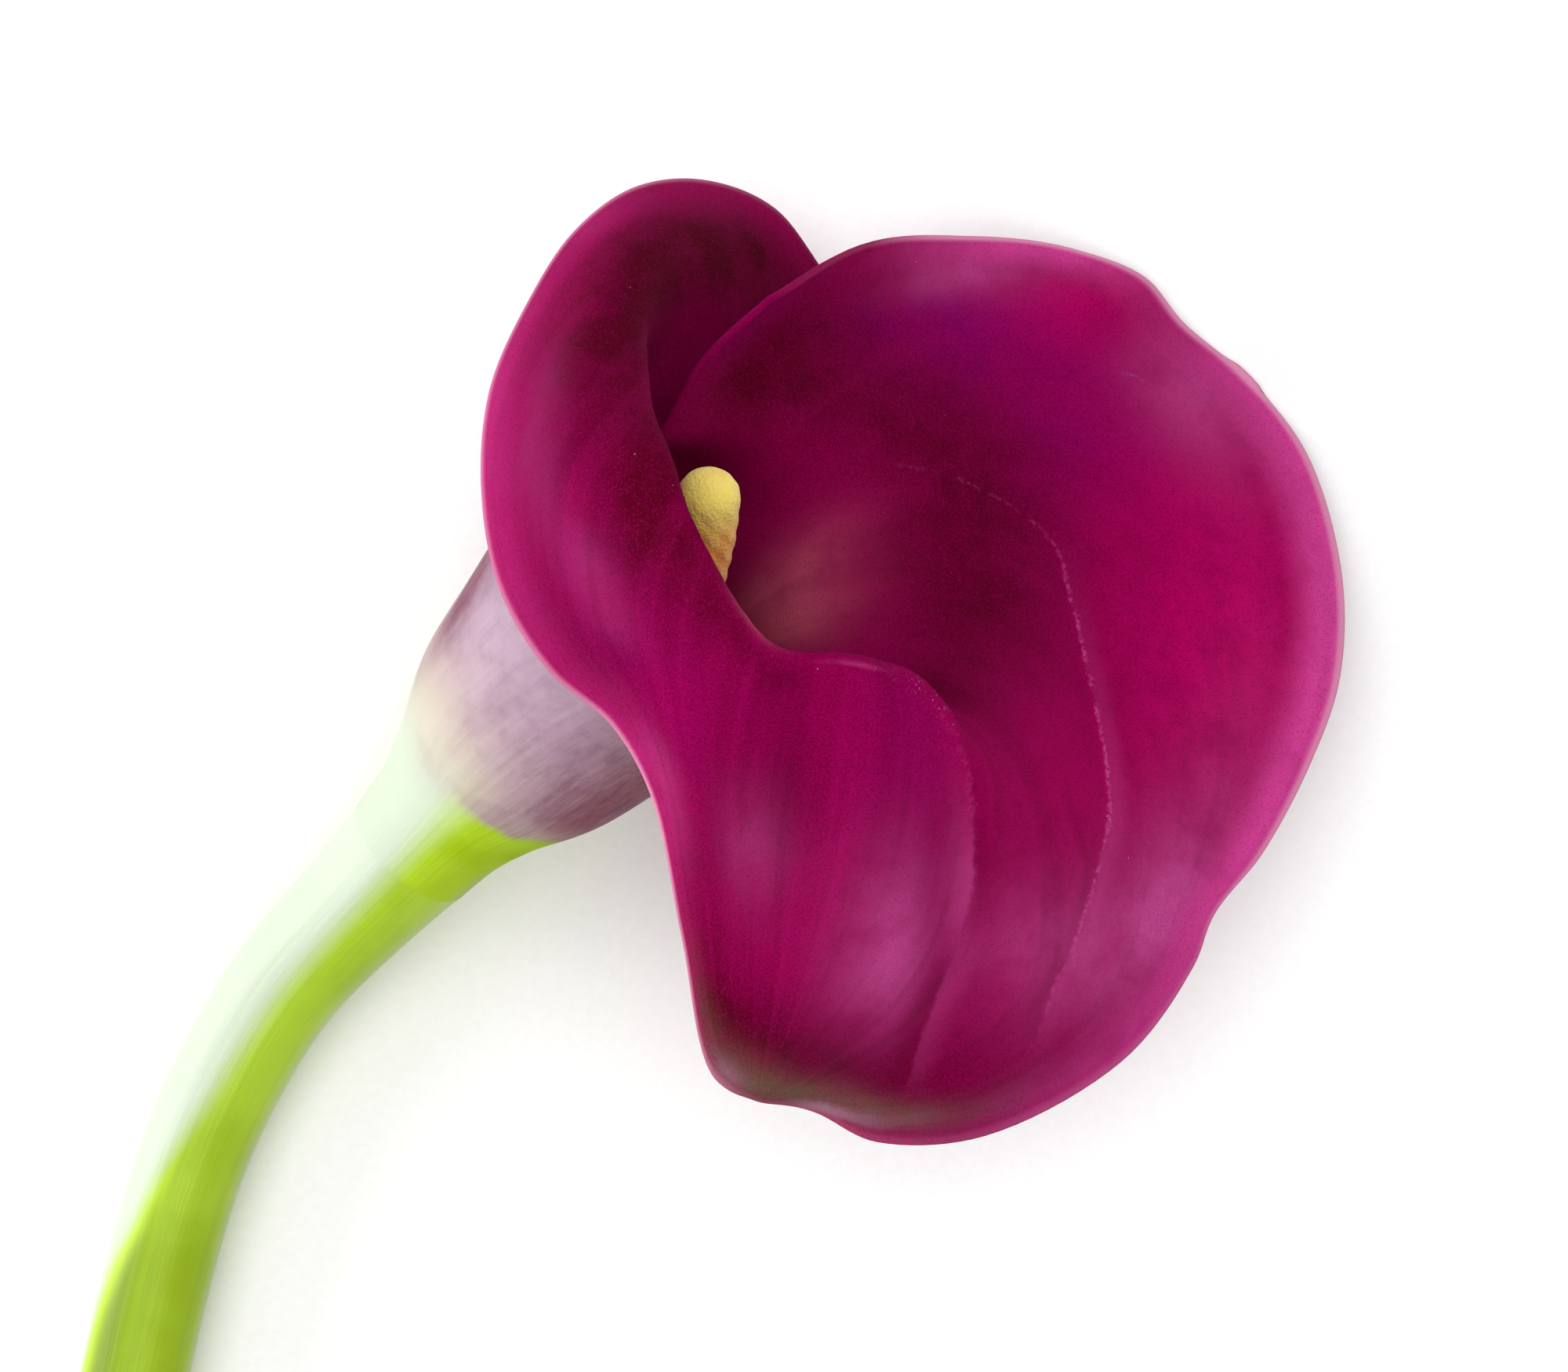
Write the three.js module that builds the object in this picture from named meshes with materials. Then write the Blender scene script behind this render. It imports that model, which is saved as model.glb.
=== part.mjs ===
// Magenta arum lily (calla): one cut bloom with its stalk, lying on a table.
// Millimetres, +Z up, the table is z = 0. The origin is the middle of the footprint.
import * as THREE from 'three';

// Driving dimensions
const HEADING = 39;            // degrees, where the flower's tube points over the table, from +X
const RISE = 39;               // degrees, how far the tube's axis is lifted off the table
const AXIS_START = new THREE.Vector3(-18.73, 31.83, 14.96);
const SAG = 0.0042;            // per mm, how the axis flattens towards the stalk
const SAG_END = 25;            // mm along the axis where it has stopped flattening
const LEAN = 0.00108;          // per mm, how it swings towards the stalk's own heading
const LEAN_END = 45;           // mm along the axis where it has stopped swinging
const FIT_GAP = 0.3;           // between pieces that touch in the real flower

const BASE_WALL = 1.85;        // thickness of the spathe round the stalk
const TUBE_WALL = 1.1;         // in the tube
const CUP_WALL = 0.95;         // in the spreading cup
const RIM_WALL = 0.75;         // at the free edge
const LAYER_STEP = 0.9;        // how far each overlapping edge stands off the middle layer

const RIM_ROLL = 0.35;         // how far the free edge rolls back, away from the inner face
const RIM_ROLL_SPAN = 0.22;    // the share of the last ring that rolls
const TIP_ROLL = 1.7;          // added at the tip
const TIP_ROLL_STATION = 17.6;
const TIP_ROLL_WIDTH = 1.1;    // in stations

const STALK_RADIUS = 5.32;     // far from the flower
const STALK_SWELL = 1.5;       // added where it meets the flower
const STALK_SWELL_LENGTH = 13;
const STALK_LIFT_LENGTH = 34;  // the stretch that rises off the table
const STALK_LIFT_POWER = 2.2;
const STALK_SIDES = 16;
const STALK_STEPS = 36;
const NECK_RADIUS = 4.05;      // inside the spathe's base
const NECK_TOP_RADIUS = 3.4;
const NECK_TOP = 0.4;          // mm along the axis where the neck ends

const SPADIX_RADIUS = 3.1;
const SPADIX_FOOT_RADIUS = 2.7;
const SPADIX_DOME = 2.8;       // length of the rounded tip
const SPADIX_SIDES = 36;
const SPADIX_STEPS = 54;
const FLORET_RELIEF = 0.3;     // how far the florets stand out
const FLORETS_ROUND = 9;
const FLORET_LENGTH = 2.2;     // spacing along the club

const COLUMNS_PER_STATION = 2;
const TUBE_ROWS_PER_RING = 2;
const CUP_ROWS_PER_RING = 5;
const ROLL_ROWS = 4;

// Rings of the tube: [mm along the axis, outer radius, degrees either side of the midrib]
const TUBE_RINGS = [
  [-10, 6.85, 176],
  [-5, 7.5, 176],
  [0, 9, 177],
  [7, 11.8, 180],
  [16, 13.5, 184],
  [31, 16, 190],
];

// Stations round the cup, from the inner free edge over the far side, the tip and the near
// side to the outer free edge. Each has three places, at the mouth, in the cup and on the
// rim, and a place is [turn in degrees from the far side, reach from the axis, mm along it].
const TIP_STATION = 18;
const CUP_STATIONS = [
  [[-74, 11.5, 39], [-55, 17, 43.5], [-39, 23.5, 48]],
  [[-39, 12, 40.5], [-29, 24, 45], [-22, 36.5, 50.5]],
  [[-15, 16, 41.5], [-14, 32, 46], [-11, 46, 52]],
  [[0, 19.5, 42], [-5, 38, 47.5], [-2, 56, 53.5]],
  [[9, 22, 42], [5, 41, 48], [4.5, 61, 55]],
  [[16, 23.5, 42], [12, 43, 48], [10, 62, 55]],
  [[24, 24, 41.5], [19, 44, 48], [17, 66.3, 55.4]],
  [[34, 25, 41.5], [27, 45, 47.5], [25, 67.5, 56.5]],
  [[47, 25, 41.5], [36, 46, 46], [35, 68.5, 54.5]],
  [[62, 25.5, 42.5], [47, 46.5, 44.5], [45, 67, 52]],
  [[73, 26, 44.5], [58, 46.5, 43.5], [53, 65, 48.5]],
  [[82, 26.5, 46.5], [70, 46, 42], [62, 63, 43.5]],
  [[90, 27, 48], [79, 46.5, 41], [68, 61.5, 39]],
  [[95, 27, 49.5], [86, 46, 39], [73, 62, 36.5]],
  [[100, 25.5, 51], [92, 45, 37.5], [84, 61.5, 31]],
  [[104, 24, 52.5], [96, 43, 36], [96, 58, 21.5]],
  [[110, 22, 53.5], [101, 40.5, 36], [104, 53, 15.5]],
  [[117, 21, 53.5], [107, 38.5, 37], [109, 48.5, 13.5]],
  [[125, 20.5, 53.5], [115, 35, 38], [114, 45.5, 10.5]],
  [[132, 20, 52.5], [123, 31, 36.5], [119, 41.5, 10.5]],
  [[140, 20, 51], [134, 27.5, 37.5], [128, 32, 20.5]],
  [[149, 20, 50.5], [148, 24, 40.5], [145, 24, 30]],
  [[161, 19, 51], [164, 21.5, 42.5], [162, 22, 33]],
  [[175, 17.5, 51.5], [181, 21, 43], [181, 21.5, 32]],
  [[192, 16, 51.5], [200, 20.5, 43.5], [205, 21, 31.5]],
  [[215, 14, 50.5], [222, 20, 43.5], [233, 21.5, 32]],
  [[244, 14, 48], [245, 20, 44.5], [260, 25, 33.5]],
  [[268, 16.5, 46.5], [267, 22, 44.5], [279, 29.5, 36]],
  [[285, 20, 44.5], [284, 25, 45], [293, 35, 39]],
  [[299, 23, 42.5], [301, 29.5, 44.5], [304, 39, 41.5]],
  [[311, 25.5, 40.5], [316, 33.5, 43], [316, 42, 42.5]],
  [[323, 27, 39], [328, 37, 40.5], [329, 44.5, 41.5]],
  [[336, 29.5, 37.5], [340, 39, 38.5], [340, 44, 39]],
];

// The stalk's middle line on the table, from below the flower to the cut end.
const STALK_ROUTE = [
  [-32.9, 14.6], [-38.8, 8.4], [-42.8, 1.8], [-46.1, -4.5], [-48.6, -10.8], [-50.4, -17],
  [-52, -23.3], [-53.4, -29.5], [-55.2, -39], [-57.2, -51], [-58.9, -63], [-60.2, -75],
  [-61.1, -86.57],
];

// Where the spadix leaves the axis and leans over, as far as the start of its domed tip.
const SPADIX_ROUTE = [
  [1.6, 46.4, 36], [3.3, 50.6, 40], [4.1, 54.7, 44], [4.3, 57, 46.3],
];
const SPADIX_ON_AXIS = [6, 16];

const heading = THREE.MathUtils.degToRad(HEADING);
const rise = THREE.MathUtils.degToRad(RISE);
const FORWARD = new THREE.Vector3(
  Math.cos(rise) * Math.cos(heading), Math.cos(rise) * Math.sin(heading), Math.sin(rise),
);
const FAR = new THREE.Vector3(
  Math.sin(rise) * Math.cos(heading), Math.sin(rise) * Math.sin(heading), -Math.cos(rise),
);
const LEFT = new THREE.Vector3(-Math.sin(heading), Math.cos(heading), 0);

const ramp = (from, to, x) => THREE.MathUtils.smoothstep(x, from, to);
const mix = THREE.MathUtils.lerp;

/** The axis at a distance along it: its point and the three directions there. */
function axisAt(along) {
  const sagging = Math.max(SAG_END - along, 0);
  const leaning = Math.max(LEAN_END - along, 0);
  const point = AXIS_START.clone()
    .addScaledVector(FORWARD, along)
    .addScaledVector(FAR, -SAG * sagging * sagging)
    .addScaledVector(LEFT, -LEAN * leaning * leaning);
  const forward = FORWARD.clone()
    .addScaledVector(FAR, 2 * SAG * sagging)
    .addScaledVector(LEFT, 2 * LEAN * leaning)
    .normalize();
  const far = new THREE.Vector3().crossVectors(LEFT, forward).normalize();
  return { point, forward, far, left: new THREE.Vector3().crossVectors(forward, far) };
}

/** A place in the flower's own terms: degrees from the far side, reach and mm along. */
function place(turn, reach, along) {
  const axis = axisAt(along);
  const angle = THREE.MathUtils.degToRad(turn);
  return axis.point
    .addScaledVector(axis.far, reach * Math.cos(angle))
    .addScaledVector(axis.left, -reach * Math.sin(angle));
}

/** The wall's thickness at a ring number of the control net. */
function wallAt(ring) {
  const mouth = TUBE_RINGS.length;
  if (ring < 2) return mix(BASE_WALL, TUBE_WALL, ring / 2);
  if (ring < mouth) return mix(TUBE_WALL, CUP_WALL, (ring - 2) / (mouth - 2));
  return mix(CUP_WALL, RIM_WALL, (ring - mouth) / 2);
}

/** The control net: for each station, its points from the base of the tube to the rim. */
function spatheNet() {
  const turns = CUP_STATIONS.map(([mouth]) => mouth[0]);
  const midrib = turns[TIP_STATION];
  return CUP_STATIONS.map((places) => {
    const offMidrib = places[0][0] - midrib;
    const edge = offMidrib < 0 ? turns[0] : turns[turns.length - 1];
    const share = offMidrib / Math.abs(edge - midrib);
    const layer = Math.sign(share) * ramp(0.55, 1, Math.abs(share));
    const tube = TUBE_RINGS.map(([along, radius, spread], ring) => {
      const step = LAYER_STEP * layer * ramp(TUBE_RINGS[0][0] + 1, 3, along);
      return place(midrib + spread * share, radius - wallAt(ring) + step, along);
    });
    return tube.concat(places.map(([turn, reach, along]) => place(turn, reach, along)));
  });
}

/** The ring numbers of the grid's rows, closest together where the free edge rolls. */
function rowRings(lastRing) {
  const mouth = TUBE_RINGS.length - 1;
  const roll = lastRing - RIM_ROLL_SPAN;
  const rows = [];
  const spread = (from, to, steps) => {
    for (let step = 0; step < steps; step += 1) rows.push(mix(from, to, step / steps));
  };
  spread(0, mouth, mouth * TUBE_ROWS_PER_RING);
  spread(mouth, roll, Math.round((roll - mouth) * CUP_ROWS_PER_RING));
  spread(roll, lastRing, ROLL_ROWS);
  return rows.concat(lastRing);
}

/** A grid of points on the spathe's inner face, row by row from the base to the rim. */
function flatRimGrid() {
  const net = spatheNet();
  const lastRing = net[0].length - 1;
  const columns = (net.length - 1) * COLUMNS_PER_STATION;
  const around = net[0].map((_, ring) => (
    new THREE.CatmullRomCurve3(net.map((station) => station[ring])).getPoints(columns)
  ));
  const meridians = around[0].map((_, column) => (
    new THREE.CatmullRomCurve3(around.map((points) => points[column]))
  ));
  return rowRings(lastRing).map((ring) => ({
    ring,
    points: meridians.map((curve) => curve.getPoint(ring / lastRing)),
  }));
}

/** The grid with its free edge rolled back, leaving room for the wall over the table. */
function spatheGrid() {
  const rows = flatRimGrid();
  const normals = gridNormals(rows);
  const lastRing = rows[rows.length - 1].ring;
  return rows.map(({ ring, points }, r) => ({
    ring,
    points: points.map((point, c) => {
      const share = Math.max(1 - (lastRing - ring) / RIM_ROLL_SPAN, 0);
      const offTip = (c / COLUMNS_PER_STATION - TIP_ROLL_STATION) / TIP_ROLL_WIDTH;
      const roll = (RIM_ROLL + TIP_ROLL * Math.exp(-offTip * offTip)) * share * share;
      const moved = point.clone().addScaledVector(normals[r][c], -roll);
      moved.z = Math.max(moved.z, RIM_WALL * normals[r][c].z);
      return moved;
    }),
  }));
}

/** Normals of the grid, towards its inner side, and square to the axis at the base. */
function gridNormals(rows) {
  const last = rows.length - 1;
  const { forward } = axisAt(TUBE_RINGS[0][0]);
  return rows.map(({ ring, points }, r) => points.map((_, c) => {
    const along = new THREE.Vector3().subVectors(
      rows[Math.min(r + 1, last)].points[c], rows[Math.max(r - 1, 0)].points[c],
    );
    const across = new THREE.Vector3().subVectors(
      points[Math.min(c + 1, points.length - 1)], points[Math.max(c - 1, 0)],
    );
    const normal = across.cross(along).normalize();
    const square = 1 - ramp(0, 1.5, ring);
    return normal.addScaledVector(forward, -square * normal.dot(forward)).normalize();
  }));
}

/** The spathe: two faces of the same grid, closed along its four edges. */
function spatheGeometry() {
  const rows = spatheGrid();
  const normals = gridNormals(rows);
  const height = rows.length;
  const width = rows[0].points.length;
  const inner = rows.flatMap(({ points }) => points);
  const outer = rows.flatMap(({ ring, points }, r) => points.map((point, c) => {
    const back = point.clone().addScaledVector(normals[r][c], -wallAt(ring));
    back.z = Math.max(back.z, 0);
    return back;
  }));
  const count = width * height;
  const faces = [];
  const quad = (a, b, c, d) => faces.push(a, b, c, a, c, d);
  for (let r = 0; r < height - 1; r += 1) {
    for (let c = 0; c < width - 1; c += 1) {
      const [a, b, d] = [r * width + c, r * width + c + 1, (r + 1) * width + c];
      const e = d + 1;
      faces.push(a, b, e, a, e, d);
      faces.push(count + a, count + e, count + b, count + a, count + d, count + e);
    }
  }
  for (let c = 0; c < width - 1; c += 1) {
    const top = (height - 1) * width + c;
    quad(c + 1, c, count + c, count + c + 1);
    quad(top, top + 1, count + top + 1, count + top);
  }
  for (let r = 0; r < height - 1; r += 1) {
    const left = r * width;
    const right = left + width - 1;
    quad(left, left + width, count + left + width, count + left);
    quad(right + width, right, count + right, count + right + width);
  }
  return meshGeometry(inner.concat(outer), faces);
}

function meshGeometry(points, faces) {
  const geometry = new THREE.BufferGeometry();
  geometry.setFromPoints(points);
  geometry.setIndex(faces);
  geometry.computeVertexNormals();
  return geometry;
}

/** Rings of points joined into one closed skin, with a flat cap or a point at each end. */
function loftGeometry(rings) {
  const sides = rings[0].length;
  const points = rings.flat();
  const faces = [];
  for (let r = 0; r < rings.length - 1; r += 1) {
    for (let s = 0; s < sides; s += 1) {
      const [a, b] = [r * sides + s, r * sides + (s + 1) % sides];
      faces.push(a, b, b + sides, a, b + sides, a + sides);
    }
  }
  const middle = (ring) => ring
    .reduce((sum, point) => sum.add(point), new THREE.Vector3()).divideScalar(sides);
  const first = points.push(middle(rings[0])) - 1;
  const last = points.push(middle(rings[rings.length - 1])) - 1;
  const end = (rings.length - 1) * sides;
  for (let s = 0; s < sides; s += 1) {
    const next = (s + 1) % sides;
    faces.push(first, next, s, last, end + s, end + next);
  }
  return meshGeometry(points, faces);
}

/** A ring of points round a middle line's point, with a flat facet on its underside. */
function ringRound(point, direction, radius, sides) {
  const side = new THREE.Vector3(0, 0, 1).cross(direction).normalize();
  const up = new THREE.Vector3().crossVectors(direction, side);
  return Array.from({ length: sides }, (_, s) => {
    const angle = (2 * Math.PI * (s + 0.5)) / sides - Math.PI / 2;
    return point.clone()
      .addScaledVector(side, radius * Math.cos(angle))
      .addScaledVector(up, radius * Math.sin(angle));
  });
}

/** The stalk: from the cut end along the table, up to the flower, then its thin neck. */
function stalkGeometry() {
  const flat = Math.cos(Math.PI / STALK_SIDES);
  const foot = axisAt(TUBE_RINGS[0][0]);
  const shoulder = foot.point.clone().addScaledVector(foot.forward, -FIT_GAP);
  const route = new THREE.CatmullRomCurve3([
    new THREE.Vector3(shoulder.x, shoulder.y, 0),
    ...STALK_ROUTE.map(([x, y]) => new THREE.Vector3(x, y, 0)),
  ]);
  const length = route.getLength();
  const radiusAt = (run) => STALK_RADIUS + STALK_SWELL * Math.exp(-run / STALK_SWELL_LENGTH);
  const lift = shoulder.z - radiusAt(0) * flat;
  const middle = (share) => {
    const run = share * length;
    const point = route.getPointAt(share);
    const rising = Math.max(1 - run / STALK_LIFT_LENGTH, 0);
    point.z = radiusAt(run) * flat + lift * rising ** STALK_LIFT_POWER;
    return point;
  };
  const rings = [];
  for (let step = STALK_STEPS; step > 0; step -= 1) {
    const share = (step / STALK_STEPS) ** 1.3;
    const [here, ahead] = [middle(share), middle(Math.max(share - 0.01, 0))];
    const direction = new THREE.Vector3().subVectors(ahead, here);
    if (share * length > STALK_LIFT_LENGTH) direction.z = 0;
    rings.push(ringRound(here, direction.normalize(), radiusAt(share * length), STALK_SIDES));
  }
  rings.push(ringRound(shoulder, foot.forward, radiusAt(0), STALK_SIDES));
  for (const [along, radius] of [
    [TUBE_RINGS[0][0] - FIT_GAP, NECK_RADIUS],
    [-6, NECK_RADIUS],
    [-2, NECK_RADIUS],
    [NECK_TOP, NECK_TOP_RADIUS],
  ]) {
    const axis = axisAt(along);
    rings.push(ringRound(axis.point, axis.forward, radius, STALK_SIDES));
  }
  return loftGeometry(rings);
}

/** How far a floret stands out at a turn round the club and a run along it. */
function floretRelief(angle, run) {
  const row = (Math.PI * run) / FLORET_LENGTH;
  return FLORET_RELIEF * (0.5 + 0.5 * Math.cos(FLORETS_ROUND * angle + row) * Math.cos(row));
}

/** The spadix: a club on the neck's top, covered with florets, leaning over at its tip. */
function spadixGeometry() {
  const start = axisAt(NECK_TOP + FIT_GAP);
  const route = new THREE.CatmullRomCurve3([
    start.point,
    ...SPADIX_ON_AXIS.map((along) => axisAt(along).point),
    ...SPADIX_ROUTE.map((point) => new THREE.Vector3(...point)),
  ]);
  const length = route.getLength();
  const rings = [];
  for (let step = 0; step <= SPADIX_STEPS; step += 1) {
    const share = step / SPADIX_STEPS;
    const run = share * length;
    const left = Math.min((length - run) / SPADIX_DOME, 1);
    const dome = Math.sqrt(Math.max(1 - (1 - left) ** 2.4, 0.012));
    const body = mix(SPADIX_FOOT_RADIUS, SPADIX_RADIUS, ramp(0, 0.3, share));
    const relief = ramp(0, 0.04, share) * ramp(0, 0.7, left);
    const direction = step === 0 ? start.forward : route.getTangentAt(share);
    const centre = route.getPointAt(share);
    const ring = ringRound(centre, direction, 1, SPADIX_SIDES);
    rings.push(ring.map((point, s) => {
      const angle = (2 * Math.PI * s) / SPADIX_SIDES;
      const radius = (body - FLORET_RELIEF + relief * floretRelief(angle, run)) * dome;
      return point.sub(centre).multiplyScalar(radius).add(centre);
    }));
  }
  return loftGeometry(rings);
}

function piece(name, geometry, color, roughness) {
  const material = new THREE.MeshStandardMaterial({ color, roughness, metalness: 0 });
  const mesh = new THREE.Mesh(geometry, material);
  mesh.name = name;
  return mesh;
}

const flower = new THREE.Group();
flower.name = 'arum_lily_flower';
flower.add(
  piece('stem', stalkGeometry(), 0xb4d24f, 0.5),
  piece('spathe', spatheGeometry(), 0xa3155f, 0.55),
  piece('spadix', spadixGeometry(), 0xdcae52, 0.7),
);

export default flower;
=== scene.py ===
"""A magenta arum lily bloom with its stalk, lying on a pale table.

Lengths are in millimetres until a mesh is finished, and in metres from then on.
"""

import logging
import math
from dataclasses import dataclass, field
from enum import Enum

import bmesh
import bpy
import numpy as np
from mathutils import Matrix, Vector


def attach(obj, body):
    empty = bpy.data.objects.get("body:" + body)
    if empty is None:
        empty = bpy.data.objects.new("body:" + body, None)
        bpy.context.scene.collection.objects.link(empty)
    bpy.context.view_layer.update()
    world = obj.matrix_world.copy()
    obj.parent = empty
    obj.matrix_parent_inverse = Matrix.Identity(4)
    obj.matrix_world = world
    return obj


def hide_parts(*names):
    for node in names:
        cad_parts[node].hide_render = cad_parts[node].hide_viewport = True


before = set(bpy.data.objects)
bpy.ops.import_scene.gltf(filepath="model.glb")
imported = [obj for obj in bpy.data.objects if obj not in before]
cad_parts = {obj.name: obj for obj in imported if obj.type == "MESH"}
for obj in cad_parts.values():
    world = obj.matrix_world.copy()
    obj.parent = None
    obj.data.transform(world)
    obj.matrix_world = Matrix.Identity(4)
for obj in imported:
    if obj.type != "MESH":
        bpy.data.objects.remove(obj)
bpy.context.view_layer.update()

LOG = logging.getLogger("arum_lily")
MM = 0.001
SHARP_FOLD = 0.9
DENSE = 1500
CREASE_POINTS = 160
GRAIN_DEPTH = 0.00012
SEAM_GAP = 1e-7
KNOT_LEAST = 1e-4
LENGTH_LEAST = 1e-12
UP = np.array([0.0, 0.0, 1.0])

Feed = bpy.types.NodeSocket | float | tuple


class Body(Enum):
    """The moving bodies of the frame."""

    ROOT = "root"


class Grain(Enum):
    """Names of the values that the meshes carry for their finishes."""

    FLOW = "flow"
    PLACE = "place"
    LONG_FOLD = "long_fold"
    THROAT_FOLD = "throat_fold"
    SHORT_FOLD = "short_fold"
    TIP_FOLD = "tip_fold"
    TINTS = "tints"
    HUES = "hues"
    # spots: on the inner face painted sheen along the edge, flecks on the crest and the painted
    # glow on the lip; on the outer face the painted highlight on the foot.
    SPOTS = "spots"
    PUSH = "push"


def colour(red: int, green: int, blue: int) -> tuple[float, float, float, float]:
    """Turns screen values of 0 to 255 into a linear colour.

    Args:
        red: The red value.
        green: The green value.
        blue: The blue value.

    Returns:
        The linear colour, with full alpha.
    """
    shares = [channel / 255 for channel in (red, green, blue)]
    linear = [s / 12.92 if s <= 0.04045 else ((s + 0.055) / 1.055) ** 2.4 for s in shares]
    return (linear[0], linear[1], linear[2], 1.0)


def ramp(low: float, high: float, value: np.ndarray | float) -> np.ndarray:
    """Rises smoothly from 0 at low to 1 at high.

    Args:
        low: Where the rise starts.
        high: Where it ends.
        value: The numbers to place on it.

    Returns:
        The height of the rise at each number.
    """
    share = np.clip((np.asarray(value, float) - low) / (high - low), 0, 1)
    return share * share * (3 - 2 * share)


def mix(low: np.ndarray | float, high: np.ndarray | float, share: np.ndarray) -> np.ndarray:
    """Returns what lies at a share of the way from low to high."""
    return low + (high - low) * share


def unit(vectors: np.ndarray) -> np.ndarray:
    """Returns the vectors scaled to length one."""
    return vectors / np.maximum(np.linalg.norm(vectors, axis=-1, keepdims=True), LENGTH_LEAST)


def sides_of(ahead: np.ndarray) -> tuple[np.ndarray, np.ndarray]:
    """Returns the level direction on the left of each heading, and the one over it."""
    left = unit(np.cross(UP, ahead))
    return left, np.cross(ahead, left)


def linked(name: str, data: bpy.types.ID) -> bpy.types.Object:
    """Makes an object that stands in the scene.

    Args:
        name: Its name.
        data: Its mesh, lamp or camera.

    Returns:
        The object.
    """
    thing = bpy.data.objects.new(name, data)
    bpy.context.scene.collection.objects.link(thing)
    return thing


def curve_through(points: np.ndarray, shares: np.ndarray) -> np.ndarray:
    """Follows a centripetal Catmull-Rom curve through points.

    Args:
        points: The points, or arrays of points, along the first axis.
        shares: Places on the curve, from 0 to 1, with the same span for each segment.

    Returns:
        The curve's points, along the first axis.
    """
    points = np.asarray(points, float)
    last = len(points) - 1
    at = np.clip(shares, 0, 1) * last
    start = np.clip(np.floor(at).astype(int), 0, last - 1)
    step = (at - start).reshape((-1,) + (1,) * (points.ndim - 1))
    before = 2 * points[0] - points[1]
    after = 2 * points[-1] - points[-2]
    padded = np.concatenate([before[None], points, after[None]])
    p0, p1, p2, p3 = (padded[start + k] for k in range(4))

    def knot(a: np.ndarray, b: np.ndarray) -> np.ndarray:
        """Returns the knot spacing between two points."""
        return np.maximum(((a - b) ** 2).sum(-1, keepdims=True) ** 0.25, KNOT_LEAST)

    k0, k1, k2 = knot(p0, p1), knot(p1, p2), knot(p2, p3)
    t1 = ((p1 - p0) / k0 - (p2 - p0) / (k0 + k1) + (p2 - p1) / k1) * k1
    t2 = ((p2 - p1) / k1 - (p3 - p1) / (k1 + k2) + (p3 - p2) / k2) * k1
    square = -3 * p1 + 3 * p2 - 2 * t1 - t2
    cube = 2 * p1 - 2 * p2 + t1 + t2
    return p1 + t1 * step + square * step**2 + cube * step**3


def run_along(points: np.ndarray) -> np.ndarray:
    """Returns the length from the first point to each point, along the first axis."""
    steps = np.linalg.norm(np.diff(points, axis=0), axis=-1)
    return np.concatenate([np.zeros((1,) + steps.shape[1:]), np.cumsum(steps, axis=0)])


@dataclass(frozen=True)
class FlowerAxis:
    """The bent line that the bloom is built round, lifted off the table."""

    heading: float = 39.0
    rise: float = 39.0
    start: tuple[float, float, float] = (-18.73, 31.83, 14.96)
    sag: float = 0.0042
    sag_end: float = 25.0
    lean: float = 0.00108
    lean_end: float = 45.0

    def directions(self) -> tuple[np.ndarray, np.ndarray, np.ndarray]:
        """Finds the directions where the axis is straight.

        Returns:
            The forward, far and left directions.
        """
        heading, rise = math.radians(self.heading), math.radians(self.rise)
        ahead = np.array([math.cos(heading), math.sin(heading), 0.0])
        forward = math.cos(rise) * ahead + math.sin(rise) * UP
        far = math.sin(rise) * ahead - math.cos(rise) * UP
        left = np.array([-math.sin(heading), math.cos(heading), 0.0])
        return forward, far, left

    def at(self, along: float) -> tuple[np.ndarray, np.ndarray, np.ndarray, np.ndarray]:
        """Finds the axis at a distance along it.

        Args:
            along: Millimetres from the axis's start.

        Returns:
            The point there, and the forward, far and left directions.
        """
        forward, far, left = self.directions()
        sagging = max(self.sag_end - along, 0.0)
        leaning = max(self.lean_end - along, 0.0)
        bend = self.sag * far * sagging**2 + self.lean * left * leaning**2
        point = np.array(self.start) + forward * along - bend
        ahead = unit(forward + 2 * (self.sag * far * sagging + self.lean * left * leaning))
        across = unit(np.cross(left, ahead))
        return point, ahead, across, np.cross(ahead, across)

    def place(self, turn: float, reach: float, along: float) -> np.ndarray:
        """Finds a place given in the bloom's own terms.

        Args:
            turn: Degrees from the far side.
            reach: Millimetres from the axis.
            along: Millimetres along the axis.

        Returns:
            The place in the frame, in millimetres.
        """
        point, _, far, left = self.at(along)
        angle = math.radians(turn)
        return point + reach * (far * math.cos(angle) - left * math.sin(angle))


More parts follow.
